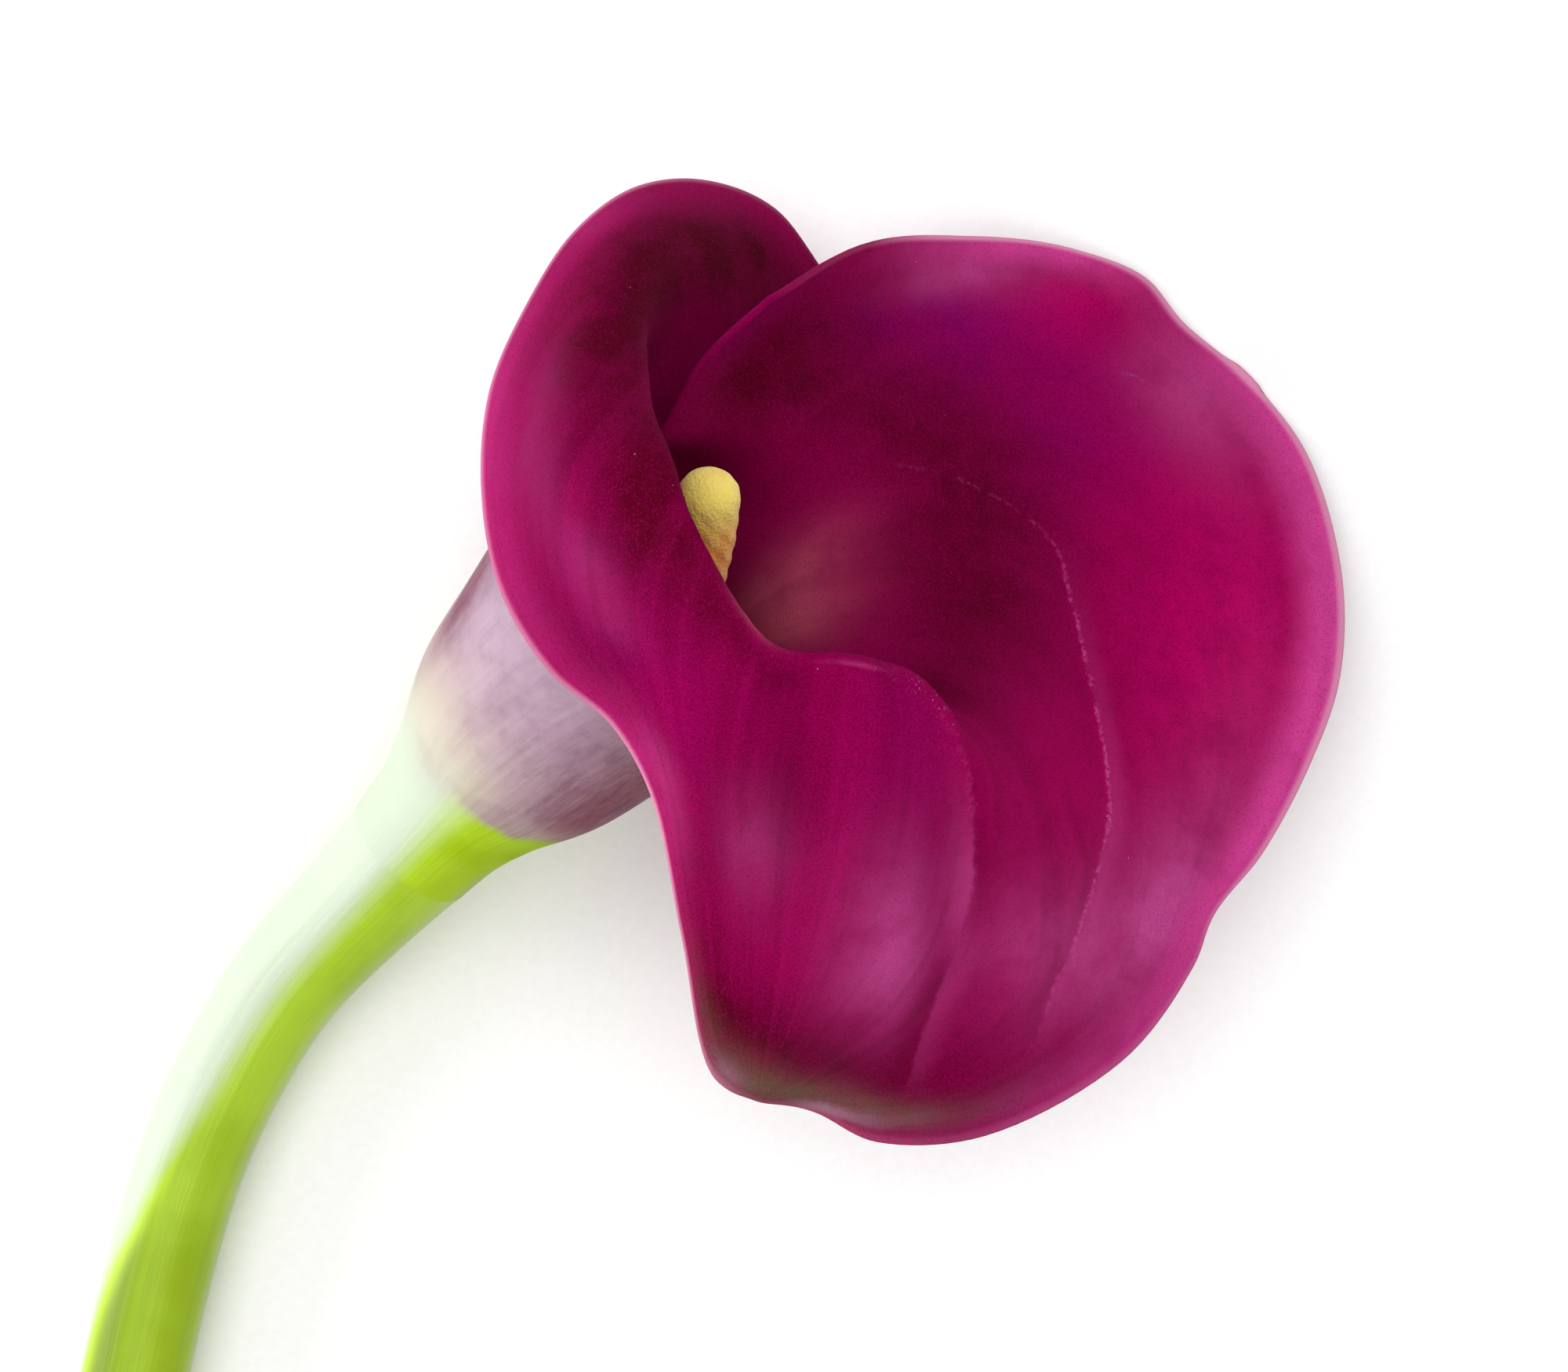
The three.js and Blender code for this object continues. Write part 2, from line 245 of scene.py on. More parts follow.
@dataclass
class Weave:
    """Lays a grid of vertices on a computed surface and turns it into a piece."""

    name: str
    slot: str
    sides: int
    steps: int
    mesh: bmesh.types.BMesh = field(default_factory=bmesh.new)
    spots: dict[bmesh.types.BMVert, tuple[int, int]] = field(default_factory=dict)

    def spread(self, points: np.ndarray, values: dict[Grain, np.ndarray]) -> None:
        """Makes the grid and moves each vertex to its point.

        Args:
            points: The surface's points in millimetres, row by row.
            values: What each vertex carries for the finish, three or four numbers each.
        """
        bmesh.ops.create_grid(
            self.mesh, x_segments=self.sides, y_segments=self.steps, size=0.5
        )
        kinds = {3: self.mesh.verts.layers.float_vector, 4: self.mesh.verts.layers.float_color}
        sizes = {grain: numbers.shape[-1] for grain, numbers in values.items()}
        for grain, size in sizes.items():
            kinds[size].new(grain.value)
        layers = {grain: kinds[size][grain.value] for grain, size in sizes.items()}
        for vert in self.mesh.verts:
            column = round((vert.co.x + 0.5) * self.sides)
            row = round((vert.co.y + 0.5) * self.steps)
            for grain, layer in layers.items():
                vert[layer] = values[grain][row, column]
            vert.co = points[row, column] * MM
            self.spots[vert] = (row, column)

    def close(self) -> None:
        """Merges the seam and the poles of a wrapped grid."""
        bmesh.ops.remove_doubles(self.mesh, verts=self.mesh.verts[:], dist=SEAM_GAP)

    def finish(self, materials: list[bpy.types.Material]) -> bpy.types.Object:
        """Turns the grid into a smooth piece that rides on the root.

        Args:
            materials: The finishes, in the order of the faces' material numbers.

        Returns:
            The finished piece.
        """
        bmesh.ops.recalc_face_normals(self.mesh, faces=self.mesh.faces[:])
        for face in self.mesh.faces:
            face.smooth = True
        for edge in self.mesh.edges:
            edge.smooth = edge.calc_face_angle(0.0) < SHARP_FOLD
        data = bpy.data.meshes.new(self.name)
        self.mesh.to_mesh(data)
        self.mesh.free()
        piece = linked(self.name, data)
        for material in materials:
            data.materials.append(material)
        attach(piece, Body.ROOT.value)
        triangles = sum(len(polygon.vertices) - 2 for polygon in data.polygons)
        LOG.info("%s: %d triangles", self.name, triangles)
        return piece


@dataclass(frozen=True)
class Cloud:
    """A cloudy pattern: its scale, how many finer layers it has and how strong they are."""

    scale: float
    detail: float = 3.0
    rough: float = 0.5


class Recipe:
    """Lays out one material's nodes, ending in a principled shader."""

    def __init__(self, name: str) -> None:
        """Starts an empty material.

        Args:
            name: The material's name.
        """
        self.material = bpy.data.materials.new(name)
        self.material.use_nodes = True
        self.tree = self.material.node_tree
        self.tree.nodes.clear()
        self.shader = self.add("ShaderNodeBsdfPrincipled", {})
        output = self.add("ShaderNodeOutputMaterial", {})
        self.tree.links.new(self.shader.outputs[0], output.inputs["Surface"])

    def add(self, kind: str, feeds: dict[str | int, Feed], **settings: object) -> bpy.types.Node:
        """Adds a node.

        Args:
            kind: The node's type.
            feeds: What goes into its sockets, by name or number.
            settings: The node's own options.

        Returns:
            The node.
        """
        node = self.tree.nodes.new(kind)
        for key, setting in settings.items():
            setattr(node, key, setting)
        for key, feed in feeds.items():
            self.feed(node, key, feed)
        return node

    def feed(self, node: bpy.types.Node, key: str | int, feed: Feed) -> None:
        """Links a socket to another one, or sets its value.

        Args:
            node: The node that takes it in.
            key: The socket's name or number.
            feed: A socket or a value.
        """
        if isinstance(feed, bpy.types.NodeSocket):
            self.tree.links.new(feed, node.inputs[key])
        else:
            node.inputs[key].default_value = feed

    def carried(self, grain: Grain) -> bpy.types.NodeSocket:
        """Returns the vector that the mesh carries under a name."""
        node = self.add("ShaderNodeAttribute", {}, attribute_name=grain.value)
        return node.outputs["Vector"]

    def three(self, grain: Grain) -> tuple[bpy.types.NodeSocket, ...]:
        """Returns the three numbers that the mesh carries under a name, each on its own."""
        return self.split(self.carried(grain))

    def four(self, grain: Grain) -> tuple[bpy.types.NodeSocket, ...]:
        """Returns the four numbers that the mesh carries under a name, each on its own."""
        node = self.add("ShaderNodeAttribute", {}, attribute_name=grain.value)
        return (*self.split(node.outputs["Vector"]), node.outputs["Alpha"])

    def split(self, vector: Feed) -> tuple[bpy.types.NodeSocket, ...]:
        """Returns the three numbers of a vector, each on its own."""
        return tuple(self.add("ShaderNodeSeparateXYZ", {0: vector}).outputs)

    def place(self) -> bpy.types.NodeSocket:
        """Returns the place on the piece, in metres."""
        return self.add("ShaderNodeTexCoord", {}).outputs["Object"]

    def stretch(self, vector: Feed, scale: tuple[float, float, float]) -> bpy.types.NodeSocket:
        """Returns a vector with each of its numbers scaled."""
        return self.add("ShaderNodeMapping", {"Vector": vector, "Scale": scale}).outputs[0]

    def sum(self, *feeds: Feed) -> Feed:
        """Adds numbers up.

        Args:
            feeds: The numbers.

        Returns:
            Their sum.
        """
        total = feeds[0]
        for feed in feeds[1:]:
            total = self.maths("ADD", total, feed)
        return total

    def times(self, *feeds: Feed, clamp: bool = False) -> Feed:
        """Multiplies numbers.

        Args:
            feeds: The numbers, at least two.
            clamp: Whether the result is kept between 0 and 1.

        Returns:
            Their product.
        """
        total = feeds[0]
        for feed in feeds[1:-1]:
            total = self.maths("MULTIPLY", total, feed)
        return self.maths("MULTIPLY", total, feeds[-1], clamp=clamp)

    def maths(self, operation: str, *feeds: Feed, clamp: bool = False) -> bpy.types.NodeSocket:
        """Combines numbers.

        Args:
            operation: What is done with the numbers.
            feeds: The numbers, in the operation's order.
            clamp: Whether the result is kept between 0 and 1.

        Returns:
            The result.
        """
        node = self.add(
            "ShaderNodeMath", dict(enumerate(feeds)), operation=operation, use_clamp=clamp
        )
        return node.outputs[0]

    def ease(self, value: Feed, low: float, high: float, top: float = 1.0) -> bpy.types.NodeSocket:
        """Rises smoothly, or falls where low is above high.

        Args:
            value: The number to place on the rise.
            low: Where the result is 0.
            high: Where it is at the top.
            top: The result's highest value.

        Returns:
            The height of the rise.
        """
        feeds: dict[str | int, Feed] = {0: value, 1: low, 2: high, 3: 0.0, 4: top}
        if low > high:
            feeds = {0: value, 1: high, 2: low, 3: top, 4: 0.0}
        node = self.add("ShaderNodeMapRange", feeds, interpolation_type="SMOOTHSTEP")
        return node.outputs[0]

    def noise(self, vector: Feed, cloud: Cloud) -> bpy.types.NodeSocket:
        """Returns a cloudy pattern between about 0.3 and 0.7."""
        shape = {"Scale": cloud.scale, "Detail": cloud.detail, "Roughness": cloud.rough}
        return self.add("ShaderNodeTexNoise", {"Vector": vector, **shape}).outputs[0]

    def cells(self, vector: Feed, scale: float, spread: float = 1.0) -> bpy.types.NodeSocket:
        """Returns the distance to the nearest of scattered points."""
        feeds = {"Vector": vector, "Scale": scale, "Randomness": spread}
        return self.add("ShaderNodeTexVoronoi", feeds).outputs["Distance"]

    def tint(self, share: Feed, under: Feed, over: Feed) -> bpy.types.NodeSocket:
        """Lays one colour over another.

        Args:
            share: How much of the upper colour shows.
            under: The lower colour.
            over: The upper colour.

        Returns:
            The resulting colour.
        """
        node = self.add("ShaderNodeMix", {}, data_type="RGBA")
        for key, feed in ((0, share), (6, under), (7, over)):
            self.feed(node, key, feed)
        return node.outputs[2]

    def coats(self, base: Feed, *coats: tuple[Feed, float, float, float, Feed]) -> Feed:
        """Lays several colours over another, each where its pattern is strong.

        Args:
            base: The lowest colour.
            coats: For each coat its pattern, where on the pattern it is 0 and where it is
                full, how much of it shows there, and its colour.

        Returns:
            The resulting colour.
        """
        for pattern, low, high, top, hue in coats:
            base = self.tint(self.ease(pattern, low, high, top), base, hue)
        return base

    def bump(self, height: Feed, depth: float) -> bpy.types.NodeSocket:
        """Raises the surface by a height pattern.

        Args:
            height: The pattern, from 0 to 1.
            depth: How far it stands out, in metres.

        Returns:
            The bent normal.
        """
        feeds = {"Height": height, "Distance": depth, "Strength": 1.0}
        return self.add("ShaderNodeBump", feeds).outputs[0]

    def surface(self, base: Feed, rough: Feed, normal: Feed, **plain: Feed) -> bpy.types.Material:
        """Feeds the shader.

        Args:
            base: The colour.
            rough: The roughness.
            normal: The relief.
            plain: Even values for other sockets, with _ for each space in their names.

        Returns:
            The finished material.
        """
        self.feed(self.shader, "Base Color", base)
        self.feed(self.shader, "Roughness", rough)
        self.feed(self.shader, "Normal", normal)
        for key, feed in plain.items():
            self.feed(self.shader, key.replace("_", " "), feed)
        return self.material


@dataclass(frozen=True)
class Patch:
    """A soft patch of colour on the sheet, at a station and a ring."""

    station: float
    ring: float
    wide: float
    high: float
    amount: float

    def over(self, stations: np.ndarray, rings: np.ndarray) -> np.ndarray:
        """Returns the patch's strength at each place of the sheet."""
        off = ((stations - self.station) / self.wide, (rings - self.ring) / self.high)
        return self.amount * np.exp(-(off[0] ** 2 + off[1] ** 2))


def patches(*rows: tuple[float, ...]) -> tuple[Patch, ...]:
    """Returns soft patches, each by its station, ring, width, height and amount."""
    return tuple(Patch(*row) for row in rows)


@dataclass(frozen=True)
class Crease:
    """A line pressed into the sheet, given by its stations and rings.

    The marks hold, by share of the length, how plain its line is (mostly a painted highlight on
    its ridge) and how much painted light (or, below 0, painted shade) lies on the banks on its
    right and on its left.
    """

    path: tuple[tuple[float, float], ...]
    depth: float
    width: float
    twist: float = 0.0
    fade: tuple[float, float] = (0.2, 0.2)
    grain: Grain | None = None
    marks: tuple[tuple[float, float, float, float], ...] = ((0.0, 0.0, 0.0, 0.0),)

    def trace(self, sheet: "Sheet") -> tuple[np.ndarray, np.ndarray]:
        """Measures how far each point of the sheet lies from the crease.

        Args:
            sheet: The sheet that it is pressed into.

        Returns:
            Millimetres, positive on the crease's left, and the share of the crease's
            length at its nearest place.
        """
        line = curve_through(np.array(self.path), np.linspace(0, 1, CREASE_POINTS))
        points = sheet.on(line[:, 0], line[:, 1])
        ahead = unit(np.gradient(points, axis=0))
        flat = sheet.points.reshape(-1, 3)
        best = np.full(len(flat), np.inf)
        nearest = np.zeros(len(flat), int)
        for number, point in enumerate(points):
            away = np.linalg.norm(flat - point, axis=1)
            closer = away < best
            best[closer] = away[closer]
            nearest[closer] = number
        offset = flat - points[nearest]
        side = np.cross(ahead[nearest], offset)
        sign = np.sign((side * sheet.normals.reshape(-1, 3)).sum(1))
        shape = sheet.points.shape[:2]
        signed = best * np.where(sign == 0, 1, sign)
        return signed.reshape(shape), (nearest / (len(points) - 1)).reshape(shape)

    def relief(self, distance: np.ndarray, share: np.ndarray) -> np.ndarray:
        """Finds how far the crease moves the sheet.

        Args:
            distance: Millimetres from the crease, positive on its left.
            share: The share of its length at the nearest place.

        Returns:
            Millimetres along the sheet's normals.
        """
        strength = ramp(0, self.fade[0], share) * ramp(0, self.fade[1], 1 - share)
        off = distance / self.width
        return (self.twist * off - 1) * self.depth * strength * np.exp(-(off**2))

    def carries(self, distance: np.ndarray, share: np.ndarray) -> np.ndarray:
        """Returns what the sheet carries for the crease: its distance and its marks."""
        at, *amounts = zip(*self.marks)
        return np.stack([distance, *(np.interp(share, at, row) for row in amounts)], -1)


@dataclass
class Sheet:
    """The spathe's inner face as a grid of points, with its normals."""

    stations: np.ndarray
    rings: np.ndarray
    points: np.ndarray
    normals: np.ndarray

    def grid(self) -> tuple[np.ndarray, np.ndarray]:
        """Returns the station and the ring of each point."""
        stations, rings = np.meshgrid(self.stations, self.rings)
        return stations, rings

    def on(self, stations: np.ndarray, rings: np.ndarray) -> np.ndarray:
        """Finds points of the sheet between the grid's own.

        Args:
            stations: The station numbers.
            rings: The ring numbers.

        Returns:
            The points in millimetres.
        """
        column = np.interp(stations, self.stations, np.arange(len(self.stations)))
        row = np.interp(rings, self.rings, np.arange(len(self.rings)))
        i = np.clip(column.astype(int), 0, len(self.stations) - 2)
        j = np.clip(row.astype(int), 0, len(self.rings) - 2)
        x, y = (column - i)[:, None], (row - j)[:, None]
        lower = mix(self.points[j, i], self.points[j, i + 1], x)
        upper = mix(self.points[j + 1, i], self.points[j + 1, i + 1], x)
        return mix(lower, upper, y)


@dataclass(frozen=True)
class GreenFlesh:
    """The smooth yellow-green skin that runs from the stalk up over the spathe's foot."""

    light: tuple = colour(170, 202, 48)
    leaf: tuple = colour(152, 182, 22)
    deep: tuple = colour(118, 156, 2)
    # The deeper green of the painted shade.
    low: tuple = colour(108, 132, 0)
    # The pale colour of the painted highlight.
    bloom: tuple = colour(184, 195, 176)
    cloud: Cloud = Cloud(70.0)
    fibres: Cloud = Cloud(1.0, 3.0, 0.6)
    fibre_scale: tuple[float, float, float] = (1100.0, 1100.0, 40.0)

    def lay(self, recipe: Recipe, pale: Feed) -> tuple[Feed, Feed]:
        """Lays out the skin.

        Args:
            recipe: The material to lay it out in.
            pale: How much painted highlight covers it, or below 0 how much painted shade deepens
                its green.

        Returns:
            Its colour and its height pattern.
        """
        flow = recipe.carried(Grain.FLOW)
        grain = recipe.noise(recipe.stretch(flow, self.fibre_scale), self.fibres)
        cloud = recipe.noise(recipe.place(), self.cloud)
        base = recipe.coats(
            self.leaf, (cloud, 0.35, 0.65, 1.0, self.light), (grain, 0.5, 0.75, 0.16, self.deep)
        )
        # Painted shade: the green deepens where pale is below 0.
        base = recipe.tint(recipe.times(pale, -1.0, clamp=True), base, self.low)
        # Painted highlight: the pale colour, broken up by the grain, where pale is above 0.
        breakup = recipe.sum(recipe.times(grain, 0.24), 0.88)
        return recipe.tint(recipe.times(pale, breakup, clamp=True), base, self.bloom), grain


@dataclass(frozen=True)
class SpatheFinish:
    """The velvety magenta inside and the mauve and green outside of the spathe, with painted
    sheen, highlights and shade in their colours.

    A crease's line, mostly a painted highlight on its ridge, strays to each side by the wander.
    The banks beside it, of painted light and painted shade, are full from their start and fade
    out towards their reach, all in millimetres. The vein scale draws patterns out along the veins.
    """

    magenta: tuple = colour(136, 0, 70)
    plum: tuple = colour(128, 0, 92)
    crimson: tuple = colour(178, 0, 92)
    # Deep wine: the throat's own darker tone and grain, also laid as painted shade in hollows and
    # beside folds.
    wine_and_shade: tuple = colour(76, 0, 22)
    # Rose: painted light, the glow where light shines through the throat's wall.
    painted_rose_light: tuple = colour(196, 84, 112)
    # Pale pink of the painted sheen and painted highlights.
    painted_sheen: tuple = colour(192, 72, 142)
    leaf: tuple = colour(88, 82, 58)
    # Greyish lilac of the painted highlights at the tip.
    painted_tip_highlight: tuple = colour(158, 116, 138)
    # Pale violet of the painted sheen along the sheet's edge.
    rim: tuple = colour(214, 68, 152)
    glint: tuple = colour(186, 16, 112)
    # Pale line along the long creases: a painted highlight on their raised ridges.
    crease_highlight: tuple = colour(196, 70, 142)
    vein: tuple = colour(128, 74, 148)
    speck: tuple = colour(220, 132, 170)
    # Pale pink: the painted glow of light through the thin lip, and the real dust specks.
    edge: tuple = colour(220, 146, 178)
    lilac: tuple = colour(166, 142, 160)
    # Brownish mauve: painted shade on the tube's shaded side, partly its own tone.
    brown_and_shade: tuple = colour(132, 78, 86)
    cream: tuple = colour(188, 176, 158)
    strip: tuple = colour(120, 78, 92)
    bruise: tuple = colour(108, 74, 96)
    outer: tuple = colour(158, 44, 108)
    foot: GreenFlesh = GreenFlesh()
    wander: float = 0.55
    bank_reach: float = 3.0
    bank_start: float = 0.25
    rough: float = 0.6
    vein_scale: tuple[float, float, float] = (1.0, 1.0, 0.05)
    mottle_scale: tuple[float, float, float] = (1.0, 1.0, 0.6)
    broad: Cloud = Cloud(170.0, 3.0, 0.65)
    fine: Cloud = Cloud(5200.0, 1.0, 0.8)
    streak: Cloud = Cloud(620.0, 2.0)
    wavy: Cloud = Cloud(640.0, 3.0, 0.7)
    torn: Cloud = Cloud(2300.0, 2.0, 0.7)
    broken: Cloud = Cloud(420.0, 1.0)
    patchy: Cloud = Cloud(900.0, 1.0)
    mottle: Cloud = Cloud(440.0, 4.0, 0.7)
    threads: Cloud = Cloud(1900.0, 2.0, 0.6)
    soft: Cloud = Cloud(120.0, 3.0, 0.55)
    fleck_scale: float = 3000.0
    dust_scale: float = 210.0

    def grained(self, recipe: Recipe, amount: Feed, grain: Feed, depth: float) -> Feed:
        """Breaks an amount up into grains.

        Args:
            recipe: The material it belongs to.
            amount: The even amount, from 0 to 1.
            grain: The pattern, between about 0.3 and 0.7.
            depth: How strongly the pattern shows.

        Returns:
            The amount with the pattern in it, from 0 to 1.
        """
        swing = recipe.maths("MULTIPLY_ADD", grain, 2 * depth, 1 - depth)
        return recipe.times(amount, swing, clamp=True)

    def skin(self, recipe: Recipe, fine: Feed) -> Feed:
        """Lays out the inner face's colours: its hues in soft washes, broken into grains, some
        washes being painted sheen, glow, highlights and shade, with painted glints among the
        grains.

        Args:
            recipe: The material to lay it out in.
            fine: The finest cloudy pattern.

        Returns:
            The colour.
        """
        broad = recipe.noise(recipe.place(), self.broad)
        cloud = recipe.ease(broad, 0.3, 0.7)
        both = recipe.maths("MULTIPLY_ADD", fine, 0.45, recipe.times(broad, 0.55))
        mixed = recipe.ease(both, 0.3, 0.7)
        plum, crimson, wine_and_shade = recipe.three(Grain.TINTS)
        painted_rose_light, painted_sheen, leaf, painted_tip_highlight = recipe.four(Grain.HUES)
        # How much painted sheen lies along the edge.
        rim, _, _ = recipe.three(Grain.SPOTS)
        _, _, off_rim = recipe.three(Grain.PLACE)
        base: Feed = self.magenta
        # Several of these washes are painted light (glow, sheen and highlights) and the darkest is
        # partly painted shade.
        for amount, hue, pattern, depth in (
            (plum, self.plum, cloud, 0.5),
            (crimson, self.crimson, cloud, 0.4),
            (wine_and_shade, self.wine_and_shade, cloud, 0.18),
            (painted_rose_light, self.painted_rose_light, mixed, 0.5),
            (painted_sheen, self.painted_sheen, mixed, 0.5),
            (leaf, self.leaf, mixed, 0.4),
            (rim, self.rim, mixed, 0.35),
            (painted_tip_highlight, self.painted_tip_highlight, mixed, 0.3),
        ):
            base = recipe.tint(self.grained(recipe, amount, pattern, depth), base, hue)
        # Painted sheen along the sheet's edge.
        painted_edge_light = recipe.times(recipe.ease(off_rim, 1.4, 0.2, 0.7), rim)
        base = recipe.tint(painted_edge_light, base, self.rim)
        return recipe.coats(
            base,
            (fine, 0.48, 0.7, 0.42, self.wine_and_shade),
            (broad, 0.52, 0.7, 0.1, self.wine_and_shade),
            # Painted glints: pale specks of sheen in the fine grain.
            (fine, 0.5, 0.28, 0.2, self.glint),
        )

    def folds(self, recipe: Recipe, base: Feed) -> tuple[Feed, Feed]:
        """Marks the creases: a ragged line on each, mostly a painted highlight on its ridge,
        between banks of painted light and painted shade.

        Args:
            recipe: The material to lay it out in.
            base: The colour under them.

        Returns:
            The colour, and the height of the lines from 0 to 1.
        """
        place = recipe.place()
        wavy = recipe.noise(place, self.wavy)
        wander = recipe.maths("MULTIPLY_ADD", wavy, 2 * self.wander, -self.wander)
        torn = recipe.ease(recipe.noise(place, self.torn), 0.38, 0.6)
        broken = recipe.ease(recipe.noise(place, self.broken), 0.36, 0.56)
        ragged = recipe.times(torn, broken)
        height: Feed = 0.0
        for grain, hue, half, breakup in (
            (Grain.LONG_FOLD, self.crease_highlight, 0.42, ragged),
            (Grain.THROAT_FOLD, self.crease_highlight, 0.6, ragged),
            (Grain.SHORT_FOLD, self.vein, 0.4, ragged),
            (Grain.TIP_FOLD, self.painted_tip_highlight, 1.3, 1.0),
        ):
            distance, line, right, left = recipe.four(grain)
            near = recipe.maths("ADD", distance, wander)
            # Each bank is painted light where its amount is above 0 and painted shade where it is
            # below 0.
            for bank, side in ((right, -1), (left, 1)):
                far, close = side * self.bank_reach, -side * self.bank_start
                here = recipe.times(
                    recipe.ease(near, far, far / 8), recipe.ease(near, close, -close)
                )
                base = recipe.tint(recipe.times(here, bank, clamp=True), base, self.painted_sheen)
                base = recipe.tint(recipe.times(here, -1.0, bank, clamp=True), base, self.wine_and_shade)
            # The line: mostly a painted highlight along the crease's ridge.
            off = recipe.maths("ABSOLUTE", near)
            core = recipe.times(recipe.ease(off, half, 0.1 * half), line)
            base = recipe.tint(recipe.times(core, breakup), base, hue)
            height = recipe.sum(height, core)
        return base, height

    def inside(self, recipe: Recipe) -> tuple[Feed, Feed]:
        """Lays out the inner face.

        Args:
            recipe: The material to lay it out in.

        Returns:
            Its colour and its height pattern.
        """
        place = recipe.place()
        flow = recipe.carried(Grain.FLOW)
        _, crest, _ = recipe.three(Grain.SPOTS)
        streak = recipe.noise(recipe.stretch(flow, self.vein_scale), self.streak)
        fine = recipe.noise(place, self.fine)
        base = recipe.coats(
            self.skin(recipe, fine),
            (streak, 0.46, 0.72, 0.14, self.wine_and_shade),
            (streak, 0.48, 0.28, 0.07, self.glint),
        )
        base, lines = self.folds(recipe, base)
        flecks = recipe.ease(recipe.cells(place, self.fleck_scale), 0.34, 0.12, 0.7)
        patchy = recipe.ease(recipe.noise(place, self.patchy), 0.5, 0.62)
        base = recipe.tint(recipe.times(crest, patchy, flecks), base, self.speck)
        dust = recipe.cells(place, self.dust_scale)
        base = recipe.coats(base, (dust, 0.018, 0.01, 0.6, self.edge))
        return base, recipe.sum(recipe.times(fine, 0.5), lines)

    def outside(self, recipe: Recipe) -> tuple[Feed, Feed]:
        """Lays out the outer face.

        Args:
            recipe: The material to lay it out in.

        Returns:
            Its colour and its height pattern.
        """
        flow = recipe.carried(Grain.FLOW)
        _, ring, _ = recipe.three(Grain.PLACE)
        brown_and_shade, cream, strip = recipe.three(Grain.TINTS)
        # The painted highlight on the green foot.
        _, _, pale = recipe.three(Grain.SPOTS)
        mottle = recipe.noise(recipe.stretch(flow, self.mottle_scale), self.mottle)
        vein = recipe.noise(recipe.stretch(flow, self.vein_scale), self.threads)
        soft = recipe.noise(recipe.place(), self.soft)
        climb = recipe.sum(ring, recipe.maths("MULTIPLY_ADD", soft, 0.8, -0.4))
        base: Feed = self.lilac
        # The brown wash is painted shade on the tube's shaded side, partly its own brownish tone.
        for amount, hue in ((brown_and_shade, self.brown_and_shade), (cream, self.cream), (strip, self.strip)):
            base = recipe.tint(self.grained(recipe, amount, mottle, 0.5), base, hue)
        base = recipe.tint(recipe.ease(climb, 5.2, 7.2), base, self.outer)
        dark = recipe.maths("MULTIPLY_ADD", brown_and_shade, 0.5, 0.22)
        clean = recipe.maths("MULTIPLY_ADD", cream, -0.7, 1.0)
        spots = recipe.times(dark, clean, recipe.ease(mottle, 0.4, 0.75))
        base = recipe.tint(spots, base, self.bruise)
        base = recipe.coats(
            base,
            (soft, 0.46, 0.68, 0.24, self.bruise),
            (vein, 0.5, 0.75, 0.12, self.bruise),
            (vein, 0.5, 0.3, 0.1, self.cream),
        )
        green, _ = self.foot.lay(recipe, pale)
        sharp, dim = recipe.ease(climb, 2.75, 2.35), recipe.ease(climb, 3.5, 1.7)
        bare = recipe.maths("SUBTRACT", 1.0, pale)
        foot = recipe.sum(recipe.times(sharp, bare), recipe.times(dim, pale))
        base = recipe.tint(foot, base, green)
        return base, recipe.sum(recipe.times(vein, 0.4), recipe.times(mottle, 0.2))

    def make(self) -> list[bpy.types.Material]:
        """Makes the spathe's two materials.

        Returns:
            The one of its inner face and lip, and the one of its outer face.
        """
        recipe = Recipe("spathe_inner")
        base, height = self.inside(recipe)
        through, _, _ = recipe.three(Grain.PLACE)
        # The painted glow of light through the thin lip.
        _, _, lip_glow = recipe.three(Grain.SPOTS)
        turn = recipe.times(recipe.ease(through, 0.3, 0.9), recipe.sum(lip_glow, 0.1))
        base = recipe.tint(turn, base, self.outer)
        lip = recipe.times(lip_glow, recipe.ease(through, 1.0, 0.7))
        base = recipe.tint(lip, base, self.edge)
        inner = self.velvet(recipe, base, height)
        recipe = Recipe("spathe_outer")
        return [inner, self.velvet(recipe, *self.outside(recipe))]

    def velvet(self, recipe: Recipe, base: Feed, height: Feed) -> bpy.types.Material:
        """Gives a colour and a height pattern the spathe's soft gloss.

        Args:
            recipe: The material.
            base: The colour.
            height: The height pattern.

        Returns:
            The finished material.
        """
        return recipe.surface(
            base,
            self.rough,
            recipe.bump(height, GRAIN_DEPTH),
            Sheen_Weight=0.01,
            Sheen_Roughness=0.4,
            Sheen_Tint=colour(255, 60, 190),
            Specular_IOR_Level=0.01,
        )


